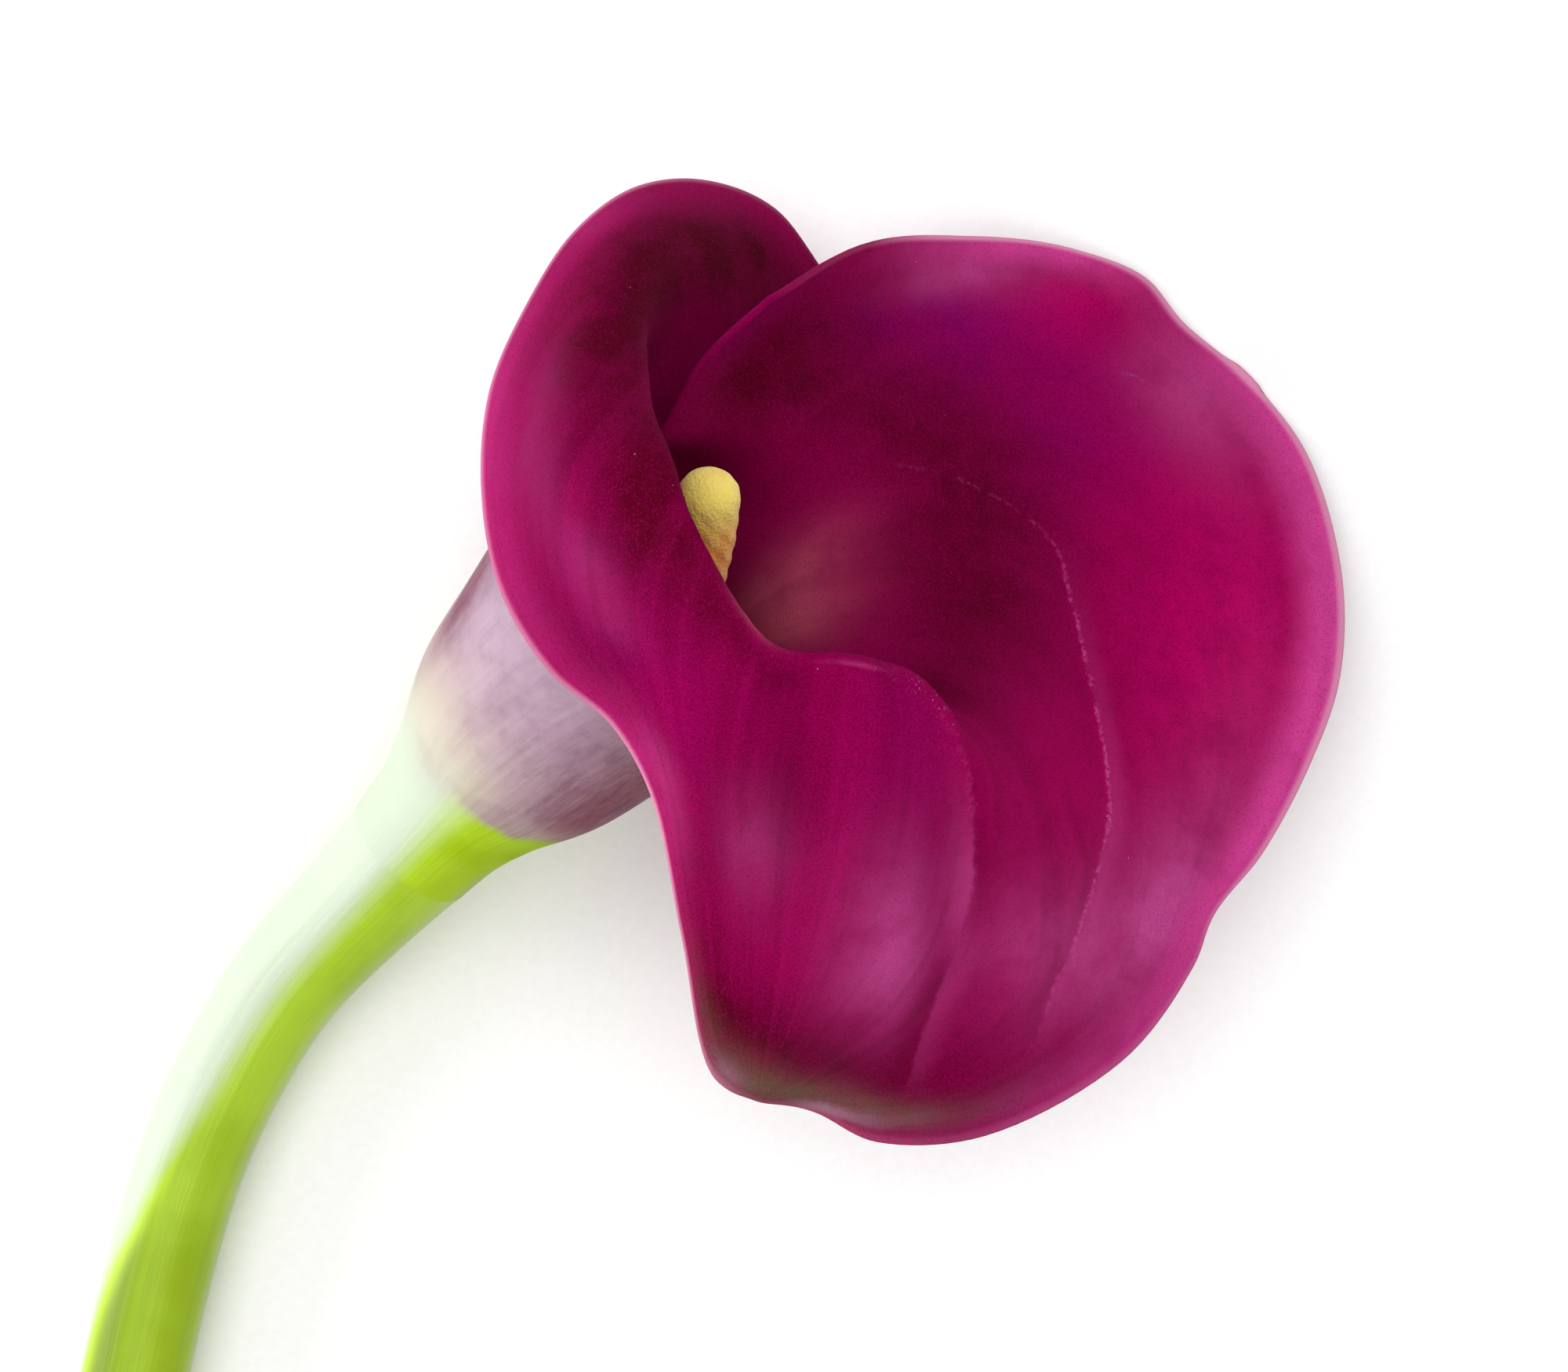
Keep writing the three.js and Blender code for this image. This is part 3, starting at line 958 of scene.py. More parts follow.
@dataclass(frozen=True)
class PaintedSideLight:
    """Painted light on the stalk and the spathe's foot: a pale painted highlight on their
    upper left side, towards the side lamp, and a painted edge light on their right brink.

    The edge gives, by millimetres down the stalk, how far left the highlight's middle lies.
    Lower down, where there is none, painted shade deepens the green, most of all on that flank.
    """

    edge: tuple[tuple[float, float], ...] = (
        (0, -0.06), (13, -0.1), (23, -0.06), (32, 0.08), (41, 0.35), (46, 0.5), (50.5, 0.7),
        (55, 0.8), (62, 0.88), (80, 1.0), (120, 1.3),
    )
    soft: tuple[float, float] = (-0.28, 0.3)
    up: tuple[float, float] = (-0.6, 0.0)
    # A pale painted edge light on the brink that faces right.
    painted_edge_light: tuple[float, float] = (0.84, 1.02)
    painted_edge_light_amount: float = 0.4
    # Where painted shade deepens the green lower down, most on the left flank.
    flank: tuple[float, float] = (-0.3, 0.7)
    flank_run: tuple[float, float] = (30.0, 52.0)
    flank_depths: tuple[float, float] = (0.12, 1.0)

    def on(self, normals: np.ndarray, ahead: np.ndarray, run: np.ndarray | float) -> np.ndarray:
        """Finds the painted highlight and the painted shade on a surface.

        Args:
            normals: The surface's outward normals.
            ahead: The direction towards the flower.
            run: Millimetres down the stalk.

        Returns:
            How much painted highlight there is, from 0 to 1, or below 0 how much painted shade
            deepens the green.
        """
        left, up = ((normals * side).sum(-1) for side in sides_of(ahead))
        at, edge = zip(*self.edge)
        middle = np.interp(run, at, edge)
        amount = ramp(*self.soft, left - middle) + self.painted_edge_light_amount * ramp(*self.painted_edge_light, -left)
        deep = np.interp(ramp(*self.flank, left), (0, 1), self.flank_depths)
        deep = deep * ramp(*self.flank_run, run)
        return amount * ramp(*self.up, up) - deep * (1 - np.clip(amount, 0, 1))


@dataclass
class Spathe:
    """The one sheet that is rolled into the tube and spreads into the cup.

    Each ring of the tube is given by millimetres along the axis, its outer radius and the
    degrees that it reaches round to each side. Each station of the cup is given by three
    places from the throat to the rim: degrees from the far side, and millimetres off and
    along the axis. Borders are given by station and strength.
    """

    axis: FlowerAxis
    # The painted highlight on the spathe's foot.
    bloom: PaintedSideLight = PaintedSideLight()
    columns_per_station: int = 9
    tube_rows_per_ring: int = 8
    cup_rows_per_ring: int = 30
    roll_rows: int = 12
    rim_roll: float = 0.35
    rim_roll_span: float = 0.22
    tip_roll: float = 1.7
    tip_roll_station: float = 17.6
    tip_roll_width: float = 1.1
    base_wall: float = 1.85
    tube_wall: float = 1.1
    cup_wall: float = 0.95
    rim_wall: float = 0.75
    layer_step: float = 0.9
    layer_start: float = 0.55
    layer_end: float = 3.0
    square_rings: float = 1.5
    seat: float = 0.35
    lip_cuts: int = 3
    tip_station: int = 18
    vein_depth: float = 0.02
    vein_count: float = 26.0
    vein_rings: tuple[float, float] = (1, 4)
    vein_sides: tuple[float, float] = (1.02, 0.8)
    narrowest: float = 0.02
    gather: float = 3.0
    flow_radius: float = 14.0
    tube_rings: tuple = (
        (-10, 6.85, 176),
        (-5, 7.5, 176),
        (0, 9, 177),
        (7, 11.8, 180),
        (16, 13.5, 184),
        (31, 16, 190),
    )
    cup_stations: tuple = (
        ((-74, 11.5, 39), (-55, 17, 43.5), (-39, 23.5, 48)),
        ((-39, 12, 40.5), (-29, 24, 45), (-22, 36.5, 50.5)),
        ((-15, 16, 41.5), (-14, 32, 46), (-11, 46, 52)),
        ((0, 19.5, 42), (-5, 38, 47.5), (-2, 56, 53.5)),
        ((9, 22, 42), (5, 41, 48), (4.5, 61, 55)),
        ((16, 23.5, 42), (12, 43, 48), (10, 62, 55)),
        ((24, 24, 41.5), (19, 44, 48), (17, 66.3, 55.4)),
        ((34, 25, 41.5), (27, 45, 47.5), (25, 67.5, 56.5)),
        ((47, 25, 41.5), (36, 46, 46), (35, 68.5, 54.5)),
        ((62, 25.5, 42.5), (47, 46.5, 44.5), (45, 67, 52)),
        ((73, 26, 44.5), (58, 46.5, 43.5), (53, 65, 48.5)),
        ((82, 26.5, 46.5), (70, 46, 42), (62, 63, 43.5)),
        ((90, 27, 48), (79, 46.5, 41), (68, 61.5, 39)),
        ((95, 27, 49.5), (86, 46, 39), (73, 62, 36.5)),
        ((100, 25.5, 51), (92, 45, 37.5), (84, 61.5, 31)),
        ((104, 24, 52.5), (96, 43, 36), (96, 58, 21.5)),
        ((110, 22, 53.5), (101, 40.5, 36), (104, 53, 15.5)),
        ((117, 21, 53.5), (107, 38.5, 37), (109, 48.5, 13.5)),
        ((125, 20.5, 53.5), (115, 35, 38), (114, 45.5, 10.5)),
        ((132, 20, 52.5), (123, 31, 36.5), (119, 41.5, 10.5)),
        ((140, 20, 51), (134, 27.5, 37.5), (128, 32, 20.5)),
        ((149, 20, 50.5), (148, 24, 40.5), (145, 24, 30)),
        ((161, 19, 51), (164, 21.5, 42.5), (162, 22, 33)),
        ((175, 17.5, 51.5), (181, 21, 43), (181, 21.5, 32)),
        ((192, 16, 51.5), (200, 20.5, 43.5), (205, 21, 31.5)),
        ((215, 14, 50.5), (222, 20, 43.5), (233, 21.5, 32)),
        ((244, 14, 48), (245, 20, 44.5), (260, 25, 33.5)),
        ((268, 16.5, 46.5), (267, 22, 44.5), (279, 29.5, 36)),
        ((285, 20, 44.5), (284, 25, 45), (293, 35, 39)),
        ((299, 23, 42.5), (301, 29.5, 44.5), (304, 39, 41.5)),
        ((311, 25.5, 40.5), (316, 33.5, 43), (316, 42, 42.5)),
        ((323, 27, 39), (328, 37, 40.5), (329, 44.5, 41.5)),
        ((336, 29.5, 37.5), (340, 39, 38.5), (340, 44, 39)),
    )
    creases: tuple[Crease, ...] = (
        Crease(
            (
                (3.86, 6.06), (4.78, 6.21), (5.54, 6.37), (6.54, 6.56), (7.36, 6.68),
                (8.29, 6.71), (9.13, 6.75), (10.0, 6.83), (10.9, 6.99), (11.8, 7.04),
                (13.1, 7.24), (14.0, 7.40), (14.6, 7.65),
            ),
            depth=0.3, width=1.2, twist=1.6, fade=(0.6, 0.15),
            grain=Grain.LONG_FOLD,
            marks=(
                (0.0, 0.05, 0.0, 0.0), (0.3, 0.2, 0.0, 0.0), (0.42, 0.6, 0.0, 0.05),
                (0.6, 0.7, 0.0, 0.14), (0.7, 0.8, 0.0, 0.24), (0.84, 0.7, -0.22, 0.2),
                (0.95, 0.35, -0.2, 0.1), (1.0, 0.0, 0.0, 0.0),
            ),
        ),
        Crease(
            (
                (16.7, 6.06), (15.6, 6.23), (14.7, 6.38), (14.7, 6.55), (14.85, 6.78),
                (15.4, 7.05), (15.8, 7.40), (15.9, 7.77),
            ),
            depth=0.34, width=1.9, twist=1.4, fade=(0.3, 0.15),
            grain=Grain.THROAT_FOLD,
            marks=(
                (0.0, 0.0, 0.0, 0.0), (0.25, 0.16, 0.0, -0.1), (0.45, 0.12, 0.12, -0.3),
                (0.53, 0.1, 0.32, -0.36), (0.6, 0.1, 0.28, -0.22), (0.7, 0.0, -0.05, 0.0),
                (0.8, 0.0, -0.4, 0.16), (0.95, 0.0, -0.3, 0.1), (1.0, 0.0, 0.0, 0.0),
            ),
        ),
        Crease(
            ((4.9, 7.45), (5.15, 7.51), (5.46, 7.58)),
            depth=0.1, width=0.8,
            grain=Grain.SHORT_FOLD,
            marks=(
                (0.0, 0.0, 0.0, 0.0), (0.1, 0.6, 0.0, 0.0), (0.9, 0.5, 0.0, 0.0),
                (1.0, 0.0, 0.0, 0.0),
            ),
        ),
        Crease(
            (
                (17.4, 7.97), (17.13, 7.96), (16.79, 7.945), (16.44, 7.925), (16.09, 7.908),
                (15.61, 7.87), (15.0, 7.83),
            ),
            depth=-0.2, width=0.7, fade=(0.2, 0.35),
            grain=Grain.TIP_FOLD,
            marks=(
                (0.0, 0.15, 0.0, 0.0), (0.25, 0.6, 0.0, 0.0), (0.45, 0.42, 0.0, 0.0),
                (0.7, 0.16, 0.0, 0.0), (0.9, 0.0, 0.0, 0.0), (1.0, 0.0, 0.0, 0.0),
            ),
        ),
        Crease(
            ((20.5, 6.19), (19.8, 6.39), (19.4, 6.55), (18.9, 6.80), (19.1, 7.16)),
            depth=0.8, width=3.0,
        ),
    )
    plum: tuple[Patch, ...] = patches(
        (3.0, 7.1, 1.5, 0.5, 0.6), (2.2, 7.15, 0.8, 0.3, 0.35), (5.6, 7.1, 1.4, 0.5, 0.5),
        (16.6, 6.5, 1.6, 0.6, 0.3), (24.0, 7.2, 3.5, 0.6, 0.35), (0.1, 7.2, 0.4, 0.7, 0.35),
    )
    crimson: tuple[Patch, ...] = patches(
        (8.6, 7.4, 2.2, 0.6, 0.85), (11.2, 6.6, 1.8, 0.4, 0.4), (14.8, 6.35, 1.8, 0.45, 0.35),
        (3.8, 7.7, 0.9, 0.35, 0.7), (29.8, 7.8, 1.2, 0.18, 0.3), (21.0, 7.85, 1.5, 0.2, 0.4),
        (16.4, 8.0, 1.6, 0.03, 0.6),
    )
    # Deep wine patches: partly the throat's own tone, partly painted shade in the throat, the
    # cup's hollows and the shaded sides of folds.
    wine_and_shade: tuple[Patch, ...] = patches(
        (0.9, 6.75, 1.3, 0.75, 0.85), (2.6, 6.35, 1.6, 0.45, 0.45), (5.2, 6.4, 1.8, 0.45, 0.75),
        (7.8, 6.2, 1.4, 0.5, 0.7), (10.0, 5.9, 1.2, 0.3, 0.6), (28.5, 6.5, 3.8, 0.75, 1.0),
        (23.6, 6.4, 2.2, 0.5, 0.75), (30.3, 7.1, 1.6, 0.45, 0.7), (27.3, 7.4, 1.2, 0.4, 0.3),
        (26.0, 7.3, 2.4, 0.5, 0.35), (17.6, 7.74, 2.6, 0.22, 0.9), (19.2, 7.85, 0.5, 0.14, 0.5),
        (20.8, 6.3, 1.2, 0.12, 0.35), (6.3, 5.8, 0.9, 0.3, 0.35), (15.6, 7.5, 1.0, 0.2, 0.2),
        (15.0, 7.85, 1.2, 0.14, 0.45), (20.2, 7.3, 0.8, 0.5, 0.35), (19.2, 6.8, 0.8, 0.4, 0.3),
        (23.0, 7.6, 1.4, 0.4, 0.35),
    )
    # Painted light: the lit streak in the throat.
    painted_rose_light: tuple[Patch, ...] = patches(
        (5.4, 5.0, 1.5, 0.5, 0.75), (7.3, 4.95, 1.0, 0.4, 0.55), (21.6, 5.98, 0.8, 0.1, 0.45),
    )
    # Painted sheen: pale bands where the velvety face catches light, on the lower lobe, near the
    # rims and on ridges.
    painted_sheen: tuple[Patch, ...] = patches(
        (13.4, 7.15, 1.3, 0.35, 0.5), (11.4, 7.45, 1.3, 0.35, 0.3), (17.0, 7.15, 0.9, 0.35, 0.75),
        (6.0, 7.7, 1.0, 0.25, 0.5), (2.4, 7.62, 0.7, 0.3, 0.6), (12.4, 7.62, 1.3, 0.25, 0.8),
        (9.6, 7.6, 1.2, 0.25, 0.1), (25.4, 7.35, 1.2, 0.25, 0.15), (23.4, 7.1, 0.8, 0.2, 0.2),
        (18.5, 6.065, 0.7, 0.02, 0.5), (15.4, 6.85, 0.6, 0.3, 0.3), (19.6, 7.1, 0.6, 0.25, 0.3),
        (21.0, 7.7, 0.6, 0.2, 0.25),
    )
    leaf: tuple[Patch, ...] = patches(
        (18.0, 7.91, 1.3, 0.1, 0.85), (16.0, 7.86, 1.0, 0.07, 0.6),
    )
    # Painted highlight on the bulge at the tip.
    painted_tip_highlight: tuple[Patch, ...] = patches((18.7, 7.94, 0.35, 0.05, 0.45))
    crest: tuple[Patch, ...] = patches(
        (17.2, 6.07, 0.9, 0.05, 0.7), (15.9, 6.14, 0.6, 0.08, 0.9), (15.0, 6.3, 0.5, 0.12, 0.6),
    )
    # Where the tube is darker brown: painted shade on its shaded side, partly its own mottled
    # tone.
    brown_and_shade: tuple[Patch, ...] = patches((17.5, 3.6, 4.6, 2.4, 0.95))
    cream: tuple[Patch, ...] = patches(
        (25.5, 2.9, 3.2, 0.9, 0.9), (19.0, 2.7, 3.4, 0.3, 0.6),
    )
    strip: tuple[Patch, ...] = patches((26.75, 4.4, 0.7, 1.1, 1.2))
    # Rings over which the painted highlight on the foot fades out.
    painted_highlight_rings: tuple[float, float] = (5, 4)
    # Painted sheen along the sheet's edge: how far in it reaches, and its strength by station.
    rim_sheen_band: tuple[float, float] = (7.0, 1.2)
    painted_rim_sheen: tuple = (
        (0, 0.0), (1.0, 0.05), (1.8, 0.5), (2.4, 0.9), (3.2, 0.8), (4.2, 0.25), (4.9, 0.3),
        (5.6, 0.6), (7, 0.95), (8.5, 1.1), (10, 1.1), (12, 0.85), (14, 0.45), (15.2, 0.1),
        (18, 0.0), (19.6, 0.0), (20.4, 0.06), (21.5, 0.15), (23, 0.1), (26, 0.22), (27.4, 0.1),
        (28.4, 0.2), (29.4, 0.05), (32, 0.0),
    )
    # Painted glow of light through the thin lip: its band and its strength by station.
    lip_band: tuple[float, float] = (1.0, 0.1)
    lip_turns: float = 5.0
    painted_lip_glow: tuple = (
        (0, 0.0), (1.0, 0.1), (1.7, 0.8), (3.2, 0.95), (4.2, 0.8), (5.2, 0.9), (9, 0.85),
        (11, 0.7), (12.6, 0.25), (15, 0.1), (18, 0.1), (19.4, 0.5), (21, 0.7), (23, 0.4),
        (27, 0.4), (29.2, 0.5), (30.6, 0.2), (32, 0.0),
    )
    roll_stations: tuple[float, float] = (0.2, 2.0)

    def seat_heading(self) -> np.ndarray:
        """Returns the direction of the axis where the sheet starts."""
        return self.axis.at(self.tube_rings[0][0])[1]

    def wall(self, ring: np.ndarray) -> np.ndarray:
        """Returns the wall's thickness at each ring number."""
        at = [0, 2, len(self.tube_rings), len(self.tube_rings) + 2]
        return np.interp(ring, at, [self.base_wall, self.tube_wall, self.cup_wall, self.rim_wall])

    def net(self) -> np.ndarray:
        """Places the control points.

        Returns:
            The points, by station and ring.
        """
        turns = [places[0][0] for places in self.cup_stations]
        midrib = turns[self.tip_station]
        base = self.tube_rings[0][0] + 1
        net = []
        for places in self.cup_stations:
            off = places[0][0] - midrib
            edge = turns[0] if off < 0 else turns[-1]
            share = off / abs(edge - midrib)
            layer = math.copysign(float(ramp(self.layer_start, 1, abs(share))), share)
            points = []
            for ring, (along, radius, spread) in enumerate(self.tube_rings):
                step = self.layer_step * layer * float(ramp(base, self.layer_end, along))
                reach = radius - float(self.wall(ring)) + step
                points.append(self.axis.place(midrib + spread * share, reach, along))
            points += [self.axis.place(*place) for place in places]
            net.append(points)
        return np.array(net)

    def sheet(self) -> Sheet:
        """Lays out the inner face, without its veins and creases.

        Returns:
            The sheet.
        """
        net = self.net()
        last_station, last_ring = net.shape[0] - 1, net.shape[1] - 1
        mouth, roll = len(self.tube_rings) - 1, last_ring - self.rim_roll_span
        cup_rows = round((roll - mouth) * self.cup_rows_per_ring)
        tube = np.linspace(0, mouth, mouth * self.tube_rows_per_ring, endpoint=False)
        cup = np.linspace(mouth, roll, cup_rows, endpoint=False)
        rings = np.concatenate([tube, cup, np.linspace(roll, last_ring, self.roll_rows + 1)])
        stations = np.linspace(0, last_station, last_station * self.columns_per_station + 1)
        around = curve_through(net, stations / last_station)
        points = curve_through(around.transpose(1, 0, 2), rings / last_ring)
        normals = self.normals(points, rings)
        share = np.maximum(1 - (last_ring - rings) / self.rim_roll_span, 0)[:, None]
        off_tip = (stations - self.tip_roll_station) / self.tip_roll_width
        back = (self.rim_roll + self.tip_roll * np.exp(-(off_tip**2))) * share**2
        back = back * ramp(*self.roll_stations, stations)
        points = points - back[..., None] * normals
        points[..., 2] = np.maximum(points[..., 2], self.rim_wall * normals[..., 2])
        return Sheet(stations, rings, points, self.normals(points, rings))

    def normals(self, points: np.ndarray, rings: np.ndarray) -> np.ndarray:
        """Finds the inner face's normals, square to the axis at the base.

        Args:
            points: The face's points.
            rings: The rings of its rows.

        Returns:
            The normals, of length one.
        """
        along = np.gradient(points, rings, axis=0)
        across = np.gradient(points, axis=1)
        normals = unit(np.cross(across, along))
        forward = self.seat_heading()
        square = (1 - ramp(0, self.square_rings, rings))[:, None, None]
        return unit(normals - square * (normals @ forward)[..., None] * forward)

    def veins(self, sheet: Sheet) -> np.ndarray:
        """Numbers the veins, which run together towards the tip.

        Args:
            sheet: The inner face.

        Returns:
            Each point's vein number, from -1 at one margin to 1 at the other.
        """
        last = sheet.stations[-1]
        tip = self.tip_station
        across = np.where(
            sheet.stations < tip,
            (sheet.stations - tip) / tip,
            (sheet.stations - tip) / (last - tip),
        )
        rise = (sheet.rings / sheet.rings[-1]) ** self.gather
        narrow = 1 - rise[:, None] * (1 - np.abs(across))[None, :]
        return across[None, :] / np.maximum(narrow, self.narrowest)

    def outward(self, points: np.ndarray) -> np.ndarray:
        """Finds the direction off the sheet at its rim and side edges.

        Args:
            points: The inner face's points.

        Returns:
            The directions, 0 away from the edges.
        """
        away = np.zeros_like(points)
        away[-1] += unit(points[-1] - points[-2])
        away[1:, 0] += unit(points[1:, 0] - points[1:, 1])
        away[1:, -1] += unit(points[1:, -1] - points[1:, -2])
        return unit(away)

    def build(self, materials: list[bpy.types.Material]) -> bpy.types.Object:
        """Builds the spathe in place.

        Args:
            materials: Its inner and its outer finish.

        Returns:
            The finished piece.
        """
        smooth = self.sheet()
        veins = self.veins(smooth)
        relief = self.vein_depth * np.cos(2 * math.pi * self.vein_count * veins)
        relief = relief * ramp(*self.vein_rings, smooth.rings)[:, None]
        relief = relief * ramp(*self.vein_sides, np.abs(veins))
        folds = {}
        for crease in self.creases:
            distance, share = crease.trace(smooth)
            relief = relief + crease.relief(distance, share)
            if crease.grain is not None:
                folds[crease.grain] = crease.carries(distance, share)
        inner, outer = self.faces(smooth, relief)
        weave = Weave("spathe_bloom", "spathe", len(smooth.stations) - 1, len(smooth.rings) - 1)
        weave.spread(inner, {**self.fronts(smooth, veins, inner, outer), **folds})
        self.thicken(weave, outer, self.backs(smooth))
        return weave.finish(materials)

    def faces(self, smooth: Sheet, relief: np.ndarray) -> tuple[np.ndarray, np.ndarray]:
        """Lays the inner and the outer face, seated on the stalk and kept over the table.

        Args:
            smooth: The inner face without its relief.
            relief: Millimetres that it is raised along its normals.

        Returns:
            The inner and the outer face's points.
        """
        inner = smooth.points + relief[..., None] * smooth.normals
        outer = inner - smooth.normals * self.wall(smooth.rings)[:, None, None]
        for face in (inner, outer):
            face[0] -= self.seat * self.seat_heading()
        inner[..., 2] = np.maximum(inner[..., 2], self.rim_wall * smooth.normals[..., 2])
        outer[..., 2] = np.maximum(outer[..., 2], 0)
        return inner, outer

    def fronts(
        self, smooth: Sheet, veins: np.ndarray, inner: np.ndarray, outer: np.ndarray
    ) -> dict[Grain, np.ndarray]:
        """Finds what the inner face and the lip carry for their finish.

        Args:
            smooth: The inner face without its relief.
            veins: Its points' vein numbers.
            inner: The inner face's points.
            outer: The outer face's points.

        Returns:
            Three or four numbers a point under each name.
        """
        stations, rings = smooth.grid()
        run = run_along(inner)
        rim = np.minimum(run[-1] - run, np.minimum(*self.side_distances(inner)))
        half = np.linalg.norm(outer - inner, axis=-1, keepdims=True) / 2
        crest = self.washes(stations, rings, self.crest)[..., 0]
        # Painted sheen along the edge.
        rim_sheen_amount = self.border(stations, rim, self.painted_rim_sheen, self.rim_sheen_band)
        # Painted glow of light through the thin lip.
        pale = self.border(stations, rim, self.painted_lip_glow, self.lip_band)
        return {
            Grain.FLOW: self.flow(veins, run),
            Grain.PLACE: np.stack([0 * rings, rings, rim], -1),
            Grain.PUSH: self.outward(inner) * half * MM,
            Grain.TINTS: self.washes(stations, rings, self.plum, self.crimson, self.wine_and_shade),
            Grain.HUES: self.washes(stations, rings, self.painted_rose_light, self.painted_sheen, self.leaf, self.painted_tip_highlight),
            Grain.SPOTS: np.stack([rim_sheen_amount, crest, pale], -1),
        }

    def backs(self, smooth: Sheet) -> dict[Grain, np.ndarray]:
        """Finds what the outer face carries for its finish.

        Args:
            smooth: The inner face without its relief.

        Returns:
            Three numbers a point under each name.
        """
        stations, rings = smooth.grid()
        # Painted highlight on the foot's upper left side, below the fifth ring.
        bloom = self.bloom.on(-smooth.normals, self.seat_heading(), 0.0)
        bloom = bloom * ramp(*self.painted_highlight_rings, rings)
        return {
            Grain.TINTS: self.washes(stations, rings, self.brown_and_shade, self.cream, self.strip),
            Grain.SPOTS: np.stack([0 * rings, 0 * rings, bloom], -1),
        }

    def washes(
        self, stations: np.ndarray, rings: np.ndarray, *hues: tuple[Patch, ...]
    ) -> np.ndarray:
        """Returns how much of each hue lies at each place, from 0 to 1."""
        sums = [sum((patch.over(stations, rings) for patch in hue), 0 * rings) for hue in hues]
        return np.clip(np.stack(sums, -1), 0, 1)

    def border(
        self, stations: np.ndarray, rim: np.ndarray, table: tuple, band: tuple[float, float]
    ) -> np.ndarray:
        """Lays a border along the sheet's edge.

        Args:
            stations: The points' stations.
            rim: Their millimetres from the edge.
            table: How strong the border is, by station.
            band: How far from the edge it has faded out, and how far in it is full.

        Returns:
            How much of it lies at each point.
        """
        at, amounts = zip(*table)
        gone, full = band
        return np.interp(stations, at, amounts) * ramp(-gone, -full, -rim)

    def flow(self, veins: np.ndarray, run: np.ndarray) -> np.ndarray:
        """Finds each point's place on the unrolled sheet, in metres.

        Args:
            veins: The points' vein numbers.
            run: Their millimetres from the base.

        Returns:
            Two numbers that turn with the veins, and one that runs along them.
        """
        angles = math.pi * veins
        turned = [self.flow_radius * np.cos(angles), self.flow_radius * np.sin(angles)]
        return np.stack([*turned, run], -1) * MM

    def side_distances(self, points: np.ndarray) -> tuple[np.ndarray, np.ndarray]:
        """Returns each point's distances to the sheet's two side edges, across it."""
        across = run_along(points.transpose(1, 0, 2)).transpose(1, 0)
        return across, across[:, -1:] - across

    def thicken(
        self, weave: Weave, outer: np.ndarray, backs: dict[Grain, np.ndarray]
    ) -> None:
        """Gives the sheet its outer face and a rounded edge.

        Args:
            weave: The grid that lies on the inner face.
            outer: The outer face's points in millimetres.
            backs: What the outer face carries for its finish.
        """
        mesh = weave.mesh
        push = mesh.verts.layers.float_vector[Grain.PUSH.value]
        place = mesh.verts.layers.float_vector[Grain.PLACE.value]
        layers = {grain: mesh.verts.layers.float_vector[grain.value] for grain in backs}
        made = bmesh.ops.duplicate(mesh, geom=mesh.verts[:] + mesh.edges[:] + mesh.faces[:])
        for vert, spot in weave.spots.items():
            twin = made["vert_map"][vert]
            twin.co = outer[spot] * MM
            twin[place] = vert[place] + Vector((1, 0, 0))
            for grain, layer in layers.items():
                twin[layer] = backs[grain][spot]
        turned = [item for item in made["geom"] if isinstance(item, bmesh.types.BMFace)]
        bmesh.ops.reverse_faces(mesh, faces=turned)
        for face in turned:
            face.material_index = 1
        edges = [edge for edge in mesh.edges if edge.is_boundary]
        bridge = bmesh.ops.bridge_loops(mesh, edges=edges)
        for face in bridge["faces"]:
            face.material_index = int(max(vert[place].y for vert in face.verts) < self.lip_turns)
        cross = [
            edge for edge in bridge["edges"] if edge.verts[0][place].x != edge.verts[1][place].x
        ]
        bmesh.ops.subdivide_edges(mesh, edges=cross, cuts=self.lip_cuts, use_grid_fill=True)
        for vert in mesh.verts:
            through = vert[place].x
            if 0 < through < 1:
                vert.co += vert[push] * math.sqrt(1 - (2 * through - 1) ** 2)
                vert.co.z = max(vert.co.z, 0)
        mesh.verts.layers.float_vector.remove(push)


@dataclass
class Rod:
    """Rings of points round a middle line, closed to a point at both ends."""

    centres: np.ndarray
    directions: np.ndarray
    radii: np.ndarray
    sides: int

    def angles(self) -> np.ndarray:
        """Returns the angle of each side, from the underside, the first one repeated."""
        return 2 * math.pi * np.arange(self.sides + 1) / self.sides - math.pi / 2

    def points(self, swell: np.ndarray | float = 0.0) -> np.ndarray:
        """Returns the rings' points.

        Args:
            swell: Millimetres added to the radius, by ring and side.

        Returns:
            The points, ring by ring.
        """
        side, over = sides_of(self.directions)
        angles = self.angles()
        reach = (self.radii[:, None] + swell)[..., None]
        turn = np.cos(angles)[None, :, None] * side[:, None]
        turn = turn + np.sin(angles)[None, :, None] * over[:, None]
        return self.centres[:, None] + reach * turn

    def flow(self, run: np.ndarray, width: float) -> np.ndarray:
        """Returns each point's place on the unrolled rod, seamless round it.

        Args:
            run: Millimetres along the rod, ring by ring.
            width: The radius that the turn is measured on.

        Returns:
            Three numbers a point, in metres.
        """
        angles = self.angles()
        shape = (len(run), len(angles))
        return np.stack(
            [
                np.broadcast_to(width * np.cos(angles), shape),
                np.broadcast_to(width * np.sin(angles), shape),
                np.broadcast_to(run[:, None], shape),
            ],
            -1,
        ) * MM


